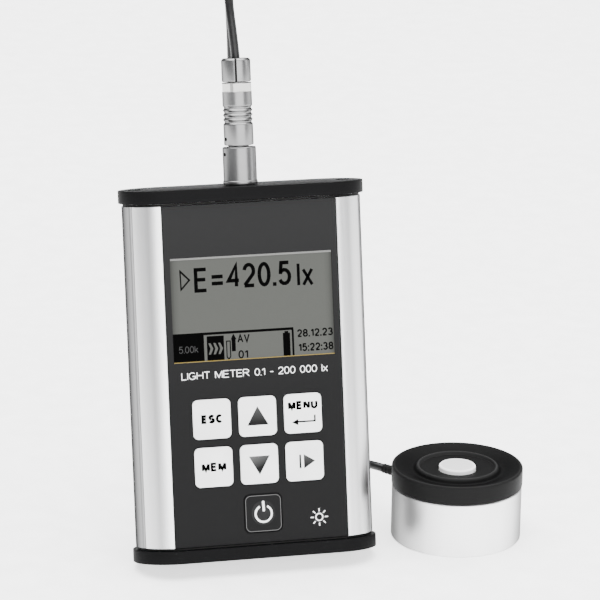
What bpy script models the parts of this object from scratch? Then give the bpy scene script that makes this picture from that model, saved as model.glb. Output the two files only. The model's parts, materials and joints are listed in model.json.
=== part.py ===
"""Handheld light meter with a separate light sensor head on a cable.

The meter's housing is built upright in the frame of the empty "meter_frame": x to the right, y to the
back, z up along the housing, with the origin on the floor side of the bottom end cap. That empty leans
the housing back on its fold-out stand. The sensor head is built in the frame of "sensor_frame", whose
z = 0 is the floor. Everything is in metres.
"""

import math

import bmesh
import bpy
from mathutils import Matrix, Vector

OBJECT_NAME = "handheld_light_meter"

# Clearance between two pieces that touch, and between a pin and its hole.
GAP = 0.0003
# Merge distance for welding a piece's own points.
WELD = 0.000002

# Stance: the housing leans back by this angle, on the edge of its bottom cap and on its stand.
LEAN = math.radians(13.4)

# Housing: two extrusions with half-elliptic sides, and two end caps that stand proud all round.
BODY_WIDTH = 0.0986
BODY_DEPTH = 0.0284
BODY_HEIGHT = 0.1509
END_LENGTH = 0.0167
WALL = 0.0020
FRONT_WALL = 0.0026
CAP_OVERHANG = 0.0013
CAP_HEIGHT = 0.0052
CAP_EDGE = 0.0008
GASKET_THICKNESS = 0.0006
GASKET_INSET = 0.0004
GASKET_RIM = 0.0013

# Seam between the two extrusions: a groove on each side, with a tongue behind it.
SEAM_Y = -0.0068
SEAM_WIDTH = 0.0009
SEAM_CHAMFER = 0.00035
TONGUE_INSET = 0.0012
TONGUE_REACH = 0.0020

# End cap screws, in the screw ports on the two sides of the rear extrusion.
PORT_INSET = 0.0061
PORT_X = BODY_WIDTH / 2 - PORT_INSET
PORT_Y = 0.0020
PORT_RADIUS = 0.0040
SCREW_RADIUS = 0.0014
SCREW_LENGTH = 0.0140
SCREW_HEAD_RADIUS = 0.0029
SCREW_HEAD_HEIGHT = 0.0017
SCREW_RECESS = 0.0004

# Front panel: a foil in a shallow channel of the front extrusion.
PANEL_WIDTH = 0.0716
PANEL_THICKNESS = 0.0006
CHANNEL_DEPTH = 0.0009

# Display, as its window in the panel.
WINDOW_WIDTH = 0.0673
WINDOW_HEIGHT = 0.0428
WINDOW_BELOW_TOP = 0.0272
WINDOW_HIGH = BODY_HEIGHT - WINDOW_BELOW_TOP
WINDOW_LOW = WINDOW_HIGH - WINDOW_HEIGHT
WINDOW_THICKNESS = 0.0005
WINDOW_LEDGE = 0.0014
GLASS_THICKNESS = 0.0014
BACKLIGHT_THICKNESS = 0.0022
FRAME_RIM = 0.0030

# Keys: three columns in two rows, and a power key below them.
KEY_WIDTH = 0.01565
KEY_HEIGHT = 0.01605
KEY_CORNER = 0.0022
KEY_PROUD = 0.00055
KEY_THICKNESS = 0.0010
KEY_EDGE = 0.0003
KEY_TRAVEL = 0.0004
KEY_PLUNGER_RADIUS = 0.0040
KEY_PLUNGER_LENGTH = 0.0026
KEY_PITCH_X = 0.01885
KEY_PITCH_Z = 0.0195
UPPER_ROW_BELOW_WINDOW = 0.0230
UPPER_ROW_Z = WINDOW_LOW - UPPER_ROW_BELOW_WINDOW
POWER_KEY_SIZE = 0.0152
POWER_KEY_X = 0.0008
POWER_KEY_Z = 0.0183
DOME_RADIUS = 0.0035
DOME_HEIGHT = 0.0005
DOME_SHEET_THICKNESS = 0.0002
KEY_CLEARANCE = 0.0004

# Boards and battery inside the housing.
KEY_BOARD_THICKNESS = 0.0010
KEY_BOARD_WIDTH = 0.0640
MAIN_BOARD_THICKNESS = 0.0016
MAIN_BOARD_WIDTH = 0.0700
MAIN_BOARD_Y = -0.0056
MAIN_BOARD_OVERLAP = 0.0030
MAIN_BOARD_END = 0.0075
CONNECTOR_WIDTH = 0.0160
# Components on the main board: x, z from its low edge, width, height and rise.
CHIPS = [
    (-0.0080, 0.0300, 0.0160, 0.0160, 0.0018),
    (0.0180, 0.0320, 0.0100, 0.0100, 0.0014),
    (-0.0260, 0.0440, 0.0080, 0.0060, 0.0014),
    (0.0240, 0.0500, 0.0120, 0.0050, 0.0030),
    (-0.0040, 0.0560, 0.0100, 0.0070, 0.0016),
    (-0.0260, 0.0220, 0.0050, 0.0090, 0.0022),
]
CELL_RADIUS = 0.00715
CELL_LENGTH = 0.0503
CELL_SPACE = 0.0015
CELL_PITCH = 2 * CELL_RADIUS + CELL_SPACE
CELL_Y = 0.0024
CELL_LOW = 0.0150
HOLDER_WALL = 0.0013
SPRING_ROOM = 0.0030
CELL_TIP = 0.0014
CONTACT_SHEET = 0.0005

# Sensor socket on the top cap, and the push-pull plug in it, from the cap upwards.
SOCKET_RADIUS = 0.0068
SOCKET_HEIGHT = 0.0152
SOCKET_FLANGE_RADIUS = 0.00705
SOCKET_FLANGE_HEIGHT = 0.0014
SOCKET_STEM_RADIUS = 0.0050
SOCKET_STEM_LENGTH = 0.0092
SOCKET_BORE = 0.0043
SOCKET_NUT_RADIUS = 0.0078
SOCKET_NUT_HEIGHT = 0.0025
CONTACT_COUNT = 5
CONTACT_RADIUS = 0.0004
CONTACT_CIRCLE = 0.0019
CONTACT_REACH = 0.0030
PLUG_RADIUS = 0.0060
PLUG_GAP = 0.0006
PLUG_GRIP_START = 0.0085
PLUG_GRIP_PITCH = 0.0019
PLUG_GRIP_COUNT = 4
PLUG_GRIP_DEPTH = 0.0004
PLUG_FLAT_START = 0.0217
PLUG_FLAT_HEIGHT = 0.0037
PLUG_FLAT_HALF = 0.0047
PLUG_FLAT_TURN = math.radians(13)
PLUG_SHELL_BORE = 0.0049
NOSE_RADIUS = 0.0040
NOSE_LENGTH = 0.0098
NOSE_WALL = 0.0007
LATCH_TRAVEL = 0.0012
NUT_RADIUS = 0.00595
NUT_HEIGHT = 0.0095
NUT_SLOT_WIDTH = 0.0009
NUT_SLOT_DEPTH = 0.0006
CLAMP_RADIUS = 0.0036

# Cable.
CABLE_DIAMETER = 0.0036
COIL_MEAN_RADIUS = 0.0200
COIL_BUNDLE = 0.0108
COIL_EDGE = 0.0028
COIL_PLACE = (0.0355, 0.1070)
TIE_THICKNESS = 0.0010
TIE_WIDTH = 0.0060

# Fold-out stand on the housing's back.
STAND_HINGE_Z = 0.0920
STAND_HINGE_RISE = 0.0045
STAND_WIDTH = 0.0340
STAND_THICKNESS = 0.0022
STAND_SPREAD = math.radians(18)
STAND_FOOT_RADIUS = 0.0022
STAND_PIN_RADIUS = 0.0010
STAND_KNUCKLE_RADIUS = 0.0027
STAND_LUG_WIDTH = 0.0045
STAND_PLATE_THICKNESS = 0.0014
STAND_PLATE_HEIGHT = 0.0180
RIVET_RADIUS = 0.0012

# Sensor head: an aluminium body, a black cover, an opal diffuser. Its place is from the housing's foot.
SENSOR_PLACE = (0.0886, 0.0127)
SENSOR_RADIUS = 0.0270
SENSOR_WALL = 0.0025
SENSOR_BODY_HEIGHT = 0.0228
COVER_PROUD = 0.00025
COVER_RADIUS = SENSOR_RADIUS + COVER_PROUD
COVER_HEIGHT = 0.0078
COVER_WALL = 0.0021
COVER_EDGE = 0.0006
COVER_CEILING = 0.0035
VALLEY_DEPTH = 0.0021
VALLEY_RADIUS = 0.0195
INNER_RING_RADIUS = 0.0181
INNER_RING_TOP = 0.0165
INNER_RECESS_RADIUS = 0.0157
INNER_RECESS_DEPTH = 0.0017
DIFFUSER_RADIUS = 0.0076
DIFFUSER_FLANGE = 0.0094
FILTER_RADIUS = 0.0064
FILTER_THICKNESS = 0.0036
DIODE_RADIUS = 0.0042
BASE_PLATE_THICKNESS = 0.0025
SENSOR_BOARD_THICKNESS = 0.0016
SENSOR_BOARD_Z = 0.0140
SENSOR_LEDGE = 0.0018
SPANNER_HOLE_X = 0.0160
SPANNER_HOLE_RADIUS = 0.0016
BOOT_ANGLE = math.radians(128)
BOOT_Z = 0.0198
BOOT_LENGTH = 0.0105
BOOT_RADIUS = 0.00235

# Number of sides of round pieces.
SIDES_SMALL = 12
SIDES_MEDIUM = 20
SIDES_LARGE = 24
SIDES_HEAD = 36
SIDES_COIL = 28
ARC_STEPS = 14

# Levels along the housing that follow from the sizes above.
SHELL_LOW = CAP_HEIGHT + GASKET_THICKNESS + 2 * GAP
SHELL_HIGH = BODY_HEIGHT - SHELL_LOW
FACE_Y = -BODY_DEPTH / 2
END_CENTRE = BODY_WIDTH / 2 - END_LENGTH
CHANNEL_HALF = PANEL_WIDTH / 2 + GAP
SOCKET_TOP = BODY_HEIGHT + GAP + SOCKET_HEIGHT
PLUG_LOW = SOCKET_TOP + PLUG_GAP
NUT_LOW = PLUG_LOW + PLUG_FLAT_START + PLUG_FLAT_HEIGHT + GAP
NUT_HIGH = NUT_LOW + NUT_HEIGHT
COVER_LOW = SENSOR_BODY_HEIGHT + GAP
COVER_TOP = COVER_LOW + COVER_HEIGHT
STAND_HINGE_Y = BODY_DEPTH / 2 + STAND_HINGE_RISE


def side_drop(x):
    """y of the housing's front surface at x, where its side starts to curve."""
    share = max(0.0, (x - END_CENTRE) / END_LENGTH)
    return FACE_Y * math.sqrt(1 - share * share)


# Levels behind the panel, as y.
PANEL_FACE = side_drop(CHANNEL_HALF)
CHANNEL_FLOOR = PANEL_FACE + CHANNEL_DEPTH
FRONT_INSIDE = FACE_Y + FRONT_WALL
KEY_BACK = PANEL_FACE - KEY_PROUD + KEY_THICKNESS
PLUNGER_BACK = KEY_BACK + KEY_PLUNGER_LENGTH
KEY_BOARD_Y = PLUNGER_BACK + KEY_TRAVEL + DOME_HEIGHT + GAP + 0.0001

# The rounded rear edge of the bottom cap touches the floor.
CAP_DEPTH = BODY_DEPTH + 2 * CAP_OVERHANG
LIFT = (CAP_DEPTH / 2 - CAP_EDGE) * math.sin(LEAN) - CAP_EDGE * math.cos(LEAN) + CAP_EDGE

# Stand: its leg reaches from the hinge to the floor.
HINGE_HEIGHT = LIFT - STAND_HINGE_Y * math.sin(LEAN) + STAND_HINGE_Z * math.cos(LEAN)
STAND_LENGTH = (HINGE_HEIGHT - STAND_FOOT_RADIUS) / math.cos(STAND_SPREAD)
STAND_OPEN = LEAN + STAND_SPREAD
HINGE_BACK = STAND_HINGE_Y * math.cos(LEAN) + STAND_HINGE_Z * math.sin(LEAN)
STAND_REACH = HINGE_BACK + STAND_LENGTH * math.sin(STAND_SPREAD) + STAND_FOOT_RADIUS

# The origin is under the middle of the housing, stand and sensor head together.
CAP_FRONT = (CAP_DEPTH / 2 - CAP_EDGE) * math.cos(LEAN) + CAP_EDGE * (1 - math.sin(LEAN))
METER_X = (BODY_WIDTH / 2 + CAP_OVERHANG - SENSOR_PLACE[0] - COVER_RADIUS) / 2
METER_Y = (CAP_FRONT - STAND_REACH) / 2

# The cable's route where it isn't coiled, from the housing's foot: over from the plug to the coil, and
# from the coil to the sensor head.
PLUG_ROUTE = [
    (-0.0006, 0.0495, 0.2095),
    (-0.0012, 0.0537, 0.2200),
    (-0.0006, 0.0612, 0.2300),
    (0.0014, 0.0712, 0.2352),
    (0.0038, 0.0810, 0.2325),
    (0.0058, 0.0875, 0.2235),
    (0.0070, 0.0900, 0.2110),
    (0.0082, 0.0906, 0.1900),
    (0.0090, 0.0902, 0.1500),
    (0.0090, 0.0890, 0.1050),
    (0.0087, 0.0872, 0.0600),
    (0.0083, 0.0865, 0.0330),
    (0.0081, 0.0885, 0.0170),
    (0.0080, 0.0940, 0.0065),
    (0.0079, 0.1000, 0.0028),
    (0.0079, 0.1065, 0.0021),
]
SENSOR_ROUTE = [
    (0.0631, 0.1075, 0.0021),
    (0.0628, 0.0980, 0.0021),
    (0.0619, 0.0880, 0.0025),
    (0.0605, 0.0790, 0.0045),
    (0.0590, 0.0700, 0.0090),
    (0.0585, 0.0610, 0.0148),
    (0.0602, 0.0520, 0.0186),
]


def clear_scene():
    for obj in list(bpy.data.objects):
        bpy.data.objects.remove(obj, do_unlink=True)


def collection(name):
    made = bpy.data.collections.new(name)
    bpy.context.scene.collection.children.link(made)
    return made


def material(name, colour, roughness, metallic=0.0):
    made = bpy.data.materials.new(name)
    made.use_nodes = True
    shader = made.node_tree.nodes["Principled BSDF"]
    shader.inputs["Base Color"].default_value = (*colour, 1.0)
    shader.inputs["Roughness"].default_value = roughness
    shader.inputs["Metallic"].default_value = metallic
    return made


def frame(name, location, turn=(0.0, 0.0, 0.0), parent=None):
    empty = bpy.data.objects.new(name, None)
    bpy.context.scene.collection.objects.link(empty)
    empty.location = location
    empty.rotation_euler = turn
    empty.parent = parent
    return empty


def part(name, mesh, look, parent=None, smooth=True):
    """A named sub-part of the object."""
    obj = bpy.data.objects.new(name, mesh)
    PARTS.objects.link(obj)
    obj.parent = parent
    mesh.materials.clear()
    mesh.materials.append(look)
    if smooth:
        mesh.shade_smooth()
        mesh.set_sharp_from_angle(angle=math.radians(35))
    return obj


def cutter(name, mesh, parent=None):
    """A shape that cuts or joins a sub-part and isn't one itself."""
    obj = bpy.data.objects.new(name, mesh)
    CUTTERS.objects.link(obj)
    obj.parent = parent
    obj.hide_render = True
    obj.display_type = "WIRE"
    return obj


def combine(target, tool, operation):
    modifier = target.modifiers.new(tool.name, "BOOLEAN")
    modifier.operation = operation
    modifier.solver = "EXACT"
    modifier.object = tool


def cut(target, name, mesh, parent=None):
    combine(target, cutter(name, mesh, parent), "DIFFERENCE")


def join(target, name, mesh, parent=None):
    combine(target, cutter(name, mesh, parent), "UNION")


def bevel(obj, width, segments=2):
    modifier = obj.modifiers.new("edges", "BEVEL")
    modifier.width = width
    modifier.segments = segments
    modifier.use_clamp_overlap = False
    modifier.limit_method = "ANGLE"
    modifier.angle_limit = math.radians(40)


def mesh_of(bm, name):
    mesh = bpy.data.meshes.new(name)
    bm.to_mesh(mesh)
    bm.free()
    return mesh


def add_box(bm, low, high):
    low, high = Vector(low), Vector(high)
    size = Matrix.Diagonal((*(high - low), 1.0))
    bmesh.ops.create_cube(bm, size=1.0, matrix=Matrix.Translation((low + high) / 2) @ size)


def add_rod(bm, start, end, radius, end_radius=None, sides=SIDES_SMALL):
    """A closed cylinder, or a cone, from start to end."""
    start, end = Vector(start), Vector(end)
    along = end - start
    place = Matrix.Translation((start + end) / 2) @ along.to_track_quat("Z", "Y").to_matrix().to_4x4()
    bmesh.ops.create_cone(
        bm,
        cap_ends=True,
        segments=sides,
        radius1=radius,
        radius2=radius if end_radius is None else end_radius,
        depth=along.length,
        matrix=place,
    )


def boxes(name, ranges):
    bm = bmesh.new()
    for low, high in ranges:
        add_box(bm, low, high)
    return mesh_of(bm, name)


def rods(name, spans, radius, sides=SIDES_SMALL):
    bm = bmesh.new()
    for start, end in spans:
        add_rod(bm, start, end, radius, sides=sides)
    return mesh_of(bm, name)


def turned(name, profile, sides, closed=True):
    """A mesh turned about z: profile is (radius, z) down its outer side, closed or ending on the axis."""
    bm = bmesh.new()
    points = [bm.verts.new((radius, 0.0, height)) for radius, height in profile]
    pairs = list(zip(points, points[1:]))
    if closed:
        pairs.append((points[-1], points[0]))
    for pair in pairs:
        bm.edges.new(pair)
    line = bpy.data.objects.new(name, mesh_of(bm, name))
    bpy.context.scene.collection.objects.link(line)
    screw = line.modifiers.new("turn", "SCREW")
    screw.steps = sides
    screw.render_steps = sides
    screw.use_merge_vertices = True
    screw.merge_threshold = WELD
    mesh = evaluated_mesh(line)
    bpy.data.objects.remove(line, do_unlink=True)
    return mesh


def evaluated_mesh(obj):
    depsgraph = bpy.context.evaluated_depsgraph_get()
    depsgraph.update()
    return bpy.data.meshes.new_from_object(obj.evaluated_get(depsgraph))


def extruded(name, outlines, low, high, facing_front=False):
    """A flat outline with holes, from low to high along z, or along y where it faces the front."""
    curve = bpy.data.curves.new(name, "CURVE")
    curve.dimensions = "2D"
    curve.fill_mode = "BOTH"
    curve.extrude = (high - low) / 2
    for outline in outlines:
        spline = curve.splines.new("POLY")
        spline.points.add(len(outline) - 1)
        spline.use_cyclic_u = True
        for point, (x, y) in zip(spline.points, outline):
            point.co = (x, y, 0.0, 1.0)
    flat = bpy.data.objects.new(name, curve)
    bpy.context.scene.collection.objects.link(flat)
    mesh = evaluated_mesh(flat)
    bpy.data.objects.remove(flat, do_unlink=True)
    bm = bmesh.new()
    bm.from_mesh(mesh)
    bmesh.ops.remove_doubles(bm, verts=bm.verts, dist=WELD)
    middle = (low + high) / 2
    place = Matrix.Translation((0.0, 0.0, middle))
    if facing_front:
        place = Matrix.Translation((0.0, middle, 0.0)) @ Matrix.Rotation(math.radians(90), 4, "X")
    bmesh.ops.transform(bm, matrix=place, verts=bm.verts)
    bmesh.ops.recalc_face_normals(bm, faces=bm.faces)
    bm.to_mesh(mesh)
    bm.free()
    return mesh


def arc_points(inset, start, end, side, steps):
    """Points on one side of the housing's oval, inset from its surface, from start to end as y."""
    along = END_LENGTH - inset
    across = BODY_DEPTH / 2 - inset
    first = math.asin(max(-1.0, min(1.0, start / across)))
    last = math.asin(max(-1.0, min(1.0, end / across)))
    angles = [first + (last - first) * step / steps for step in range(steps + 1)]
    return [(side * (END_CENTRE + along * math.cos(a)), across * math.sin(a)) for a in angles]


def oval(inset):
    """The housing's whole outline, inset from its surface, or grown where inset is below 0."""
    reach = BODY_DEPTH / 2 - inset
    right = arc_points(inset, -reach, reach, 1, ARC_STEPS)
    left = arc_points(inset, reach, -reach, -1, ARC_STEPS)
    return right + left


def rectangle(left, low, right, high):
    return [(left, low), (right, low), (right, high), (left, high)]


def rounded_rectangle(x, z, width, height, corner, steps=3):
    points = []
    for quarter, (sx, sz) in enumerate([(1, -1), (1, 1), (-1, 1), (-1, -1)]):
        centre_x = x + sx * (width / 2 - corner)
        centre_z = z + sz * (height / 2 - corner)
        for step in range(steps + 1):
            angle = math.radians(90) * (quarter - 1 + step / steps)
            points.append((centre_x + corner * math.cos(angle), centre_z + corner * math.sin(angle)))
    return points


def key_places():
    """Each key's name, x, z, width and height."""
    lower_row_z = UPPER_ROW_Z - KEY_PITCH_Z
    rows = [(UPPER_ROW_Z, ("esc", "up", "menu")), (lower_row_z, ("mem", "down", "run"))]
    places = []
    for z, names in rows:
        for column, name in enumerate(names):
            places.append(("key_" + name, (column - 1) * KEY_PITCH_X, z, KEY_WIDTH, KEY_HEIGHT))
    places.append(("key_power", POWER_KEY_X, POWER_KEY_Z, POWER_KEY_SIZE, POWER_KEY_SIZE))
    return places


def screw_places():
    return [(-PORT_X, PORT_Y), (PORT_X, PORT_Y)]


def make_front_shell():
    lip = SEAM_Y - SEAM_WIDTH / 2
    tongue_end = SEAM_Y + TONGUE_REACH
    outer = arc_points(0.0, lip - SEAM_CHAMFER, PANEL_FACE, 1, 6)
    inner = arc_points(FRONT_WALL, FRONT_INSIDE, tongue_end, 1, 8)
    right = arc_points(SEAM_CHAMFER, lip, lip, 1, 1)[:1]
    right += outer
    right += [(CHANNEL_HALF, CHANNEL_FLOOR)]
    inside = inner
    inside += arc_points(TONGUE_INSET, tongue_end, lip, 1, 2)
    outline = right + [(-x, y) for x, y in reversed(right)]
    outline += [(-x, y) for x, y in reversed(inside)] + inside
    shell = part("front_shell", extruded("front_shell", [outline], SHELL_LOW, SHELL_HIGH), ALUMINIUM, METER)
    opening = WINDOW_WIDTH / 2 - WINDOW_LEDGE
    low = (-opening, FACE_Y, WINDOW_LOW + WINDOW_LEDGE)
    high = (opening, FRONT_INSIDE + WALL, WINDOW_HIGH - WINDOW_LEDGE)
    cut(shell, "window_cut", boxes("window_cut", [(low, high)]), METER)
    spans = [((x, FACE_Y, z), (x, FRONT_INSIDE + WALL, z)) for _, x, z, _, _ in key_places()]
    holes = rods("plunger_cuts", spans, KEY_PLUNGER_RADIUS + KEY_CLEARANCE, SIDES_MEDIUM)
    cut(shell, "plunger_cuts", holes, METER)
    return shell


def make_rear_shell():
    lip = SEAM_Y + SEAM_WIDTH / 2
    rebate_end = SEAM_Y + TONGUE_REACH + GAP + 0.0001
    back = BODY_DEPTH / 2
    lip_inset = TONGUE_INSET - GAP
    right = arc_points(SEAM_CHAMFER, lip, lip, 1, 1)[:1]
    right += arc_points(0.0, lip + SEAM_CHAMFER, back, 1, ARC_STEPS - 4)
    inside = arc_points(WALL, back - WALL, rebate_end, 1, ARC_STEPS - 6)
    inside += arc_points(lip_inset, rebate_end, lip, 1, 2)
    outline = right + [(-x, y) for x, y in reversed(right)]
    outline += [(-x, y) for x, y in reversed(inside)] + inside
    shell = part("rear_shell", extruded("rear_shell", [outline], SHELL_LOW, SHELL_HIGH), ALUMINIUM, METER)
    for number, (x, y) in enumerate(screw_places()):
        port = rods("port", [((x, y, SHELL_LOW), (x, y, SHELL_HIGH))], PORT_RADIUS, SIDES_MEDIUM)
        join(shell, "port_%d" % number, port, METER)
    spans = [((x, y, 0.0), (x, y, BODY_HEIGHT)) for x, y in screw_places()]
    cut(shell, "port_bores", rods("port_bores", spans, SCREW_RADIUS + GAP), METER)
    spans = [((x, back - 2 * WALL, z), (x, back + WALL, z)) for x, z in rivet_places()]
    cut(shell, "shell_rivet_holes", rods("shell_rivet_holes", spans, RIVET_RADIUS + GAP), METER)
    return shell


def make_end_cap(name, low, outward, looks):
    """An end cap whose outer face looks along outward, -1 for the bottom and 1 for the top."""
    cap = part(name, extruded(name, [oval(-CAP_OVERHANG)], low, low + CAP_HEIGHT), looks, METER)
    bevel(cap, CAP_EDGE, 2)
    face = low if outward < 0 else low + CAP_HEIGHT
    bm = bmesh.new()
    for x, y in screw_places():
        shank_end = face - outward * 2 * CAP_HEIGHT
        add_rod(bm, (x, y, face + outward * WALL), (x, y, shank_end), SCREW_RADIUS + GAP)
    cut(cap, name + "_screw_holes", mesh_of(bm, name + "_screw_holes"), METER)
    bm = bmesh.new()
    depth = SCREW_RECESS + SCREW_HEAD_HEIGHT + GAP
    for x, y in screw_places():
        seat = (x, y, face - outward * depth)
        add_rod(bm, seat, (x, y, face + outward * WALL), SCREW_HEAD_RADIUS + GAP)
    cut(cap, name + "_head_seats", mesh_of(bm, name + "_head_seats"), METER)
    return cap


def make_cap_screws(end, low, outward):
    """A pan-head screw with a hexagon socket on each side of an end cap."""
    face = low if outward < 0 else low + CAP_HEIGHT
    top = face - outward * SCREW_RECESS
    under = top - outward * SCREW_HEAD_HEIGHT
    for side, (x, y) in zip(("left", "right"), screw_places()):
        name = "%s_screw_%s" % (end, side)
        bm = bmesh.new()
        add_rod(bm, (x, y, top), (x, y, under), SCREW_HEAD_RADIUS, SCREW_HEAD_RADIUS * 0.92)
        screw = part(name, mesh_of(bm, name), STEEL, METER)
        shank = ((x, y, under + outward * GAP), (x, y, face - outward * SCREW_LENGTH))
        join(screw, name + "_shank", rods(name + "_shank", [shank], SCREW_RADIUS, 10), METER)
        socket = ((x, y, top + outward * WALL), (x, y, top - outward * WALL / 2))
        cut(screw, name + "_socket", rods(name + "_socket", [socket], SCREW_RADIUS, 6), METER)


def make_gasket(name, low):
    outlines = [oval(GASKET_INSET), oval(GASKET_INSET + GASKET_RIM)]
    part(name, extruded(name, outlines, low, low + GASKET_THICKNESS), RUBBER, METER)


def make_housing():
    make_front_shell()
    make_rear_shell()
    make_end_cap("bottom_end_cap", 0.0, -1, BLACK)
    top = make_end_cap("top_end_cap", BODY_HEIGHT - CAP_HEIGHT, 1, BLACK)
    stem = ((0.0, 0.0, SHELL_HIGH), (0.0, 0.0, BODY_HEIGHT + WALL))
    cut(top, "stem_hole", rods("stem_hole", [stem], SOCKET_STEM_RADIUS + GAP, SIDES_LARGE), METER)
    make_cap_screws("bottom_cap", 0.0, -1)
    make_cap_screws("top_cap", BODY_HEIGHT - CAP_HEIGHT, 1)
    make_gasket("bottom_cap_gasket", CAP_HEIGHT + GAP)
    make_gasket("top_cap_gasket", SHELL_HIGH + GAP)


def make_panel():
    """The printed foil with its window and key openings, and the display behind it."""
    edge = PANEL_WIDTH / 2
    outlines = [rectangle(-edge, SHELL_LOW + GAP, edge, SHELL_HIGH - GAP)]
    half = WINDOW_WIDTH / 2
    outlines.append(rectangle(-half, WINDOW_LOW, half, WINDOW_HIGH))
    for _, x, z, width, height in key_places():
        grow = 2 * KEY_CLEARANCE
        corner = KEY_CORNER + KEY_CLEARANCE
        outlines.append(rounded_rectangle(x, z, width + grow, height + grow, corner))
    panel = extruded("keypad_foil", outlines, PANEL_FACE, PANEL_FACE + PANEL_THICKNESS, True)
    part("keypad_foil", panel, FOIL, METER)
    low = (-half + GAP, PANEL_FACE + 0.0001, WINDOW_LOW + GAP)
    high = (half - GAP, PANEL_FACE + 0.0001 + WINDOW_THICKNESS, WINDOW_HIGH - GAP)
    part("display_window", boxes("display_window", [(low, high)]), CLEAR, METER, smooth=False)


def make_display():
    inset = WINDOW_LEDGE + GAP
    left, low = WINDOW_WIDTH / 2 - inset, WINDOW_LOW + inset
    high = WINDOW_HIGH - inset
    face = CHANNEL_FLOOR + 0.0001
    back = face + GLASS_THICKNESS
    glass = boxes("display_glass", [((-left, face, low), (left, back, high))])
    part("display_glass", glass, LCD, METER, smooth=False)
    start = max(back, FRONT_INSIDE) + GAP
    end = start + BACKLIGHT_THICKNESS
    light = boxes("display_backlight", [((-left, start, low), (left, end, high))])
    part("display_backlight", light, WHITE, METER, smooth=False)
    inner = rectangle(-left - GAP, low - GAP, left + GAP, high + GAP)
    rim = FRAME_RIM
    outer = rectangle(-left - rim, low - rim, left + rim, high + rim)
    holder = extruded("display_frame", [outer, inner], start, end, True)
    part("display_frame", holder, BLACK, METER, smooth=False)


def make_keys():
    """Each key moves along its own axis, so its origin is on that axis at the panel's face."""
    for name, x, z, width, height in key_places():
        holder = frame(name + "_frame", (x, PANEL_FACE, z), parent=METER)
        cap = rounded_rectangle(0.0, 0.0, width, height, KEY_CORNER)
        start = KEY_BACK - PANEL_FACE - KEY_THICKNESS
        mesh = extruded(name, [cap], start, start + KEY_THICKNESS, True)
        key = part(name, mesh, WHITE, holder)
        bevel(key, KEY_EDGE, 1)
        overlap = KEY_THICKNESS / 2
        span = ((0.0, start + KEY_THICKNESS - overlap, 0.0), (0.0, PLUNGER_BACK - PANEL_FACE, 0.0))
        join(key, name + "_plunger", rods(name + "_plunger", [span], KEY_PLUNGER_RADIUS), holder)


def make_dome_sheet():
    """A thin sheet with a snap dome behind each key."""
    back = KEY_BOARD_Y - GAP
    half = KEY_BOARD_WIDTH / 2 - WALL
    low, high = key_board_span()
    flat = rectangle(-half, low + WALL, half, high - WALL)
    sheet = extruded("dome_sheet", [flat], back - DOME_SHEET_THICKNESS, back, True)
    sheet = part("dome_sheet", sheet, STEEL, METER, smooth=False)
    bm = bmesh.new()
    for _, x, z, _, _ in key_places():
        start = (x, back - DOME_SHEET_THICKNESS / 2, z)
        add_rod(bm, start, (x, back - DOME_HEIGHT, z), DOME_RADIUS, DOME_RADIUS / 2)
    join(sheet, "domes", mesh_of(bm, "domes"), METER)


def key_board_span():
    """The keypad board's low and high z: from the shell's low end to below the display."""
    return SHELL_LOW + 2 * WALL, WINDOW_LOW - FRAME_RIM - WALL


def make_boards():
    """The keypad board, the populated main board behind the display, and the connector between them."""
    half = KEY_BOARD_WIDTH / 2
    low, high = key_board_span()
    back = KEY_BOARD_Y + KEY_BOARD_THICKNESS
    board = extruded("keypad_board", [rectangle(-half, low, half, high)], KEY_BOARD_Y, back, True)
    part("keypad_board", board, BOARD, METER, smooth=False)

    half = MAIN_BOARD_WIDTH / 2
    main_low, main_back = high - MAIN_BOARD_OVERLAP, MAIN_BOARD_Y + MAIN_BOARD_THICKNESS
    outline = rectangle(-half, main_low, half, SHELL_HIGH - MAIN_BOARD_END)
    main = extruded("main_board", [outline], MAIN_BOARD_Y, main_back, True)
    main = part("main_board", main, BOARD, METER, smooth=False)
    ranges = []
    for x, z, width, height, rise in CHIPS:
        first = (x - width / 2, main_back - MAIN_BOARD_THICKNESS / 2, main_low + z - height / 2)
        ranges.append((first, (x + width / 2, main_back + rise, main_low + z + height / 2)))
    join(main, "chips", boxes("chips", ranges), METER)

    half = CONNECTOR_WIDTH / 2
    first = (-half, back + GAP, main_low + GAP)
    block = boxes("board_connector", [(first, (half, MAIN_BOARD_Y - GAP, high - GAP))])
    part("board_connector", block, BLACK, METER, smooth=False)


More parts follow.
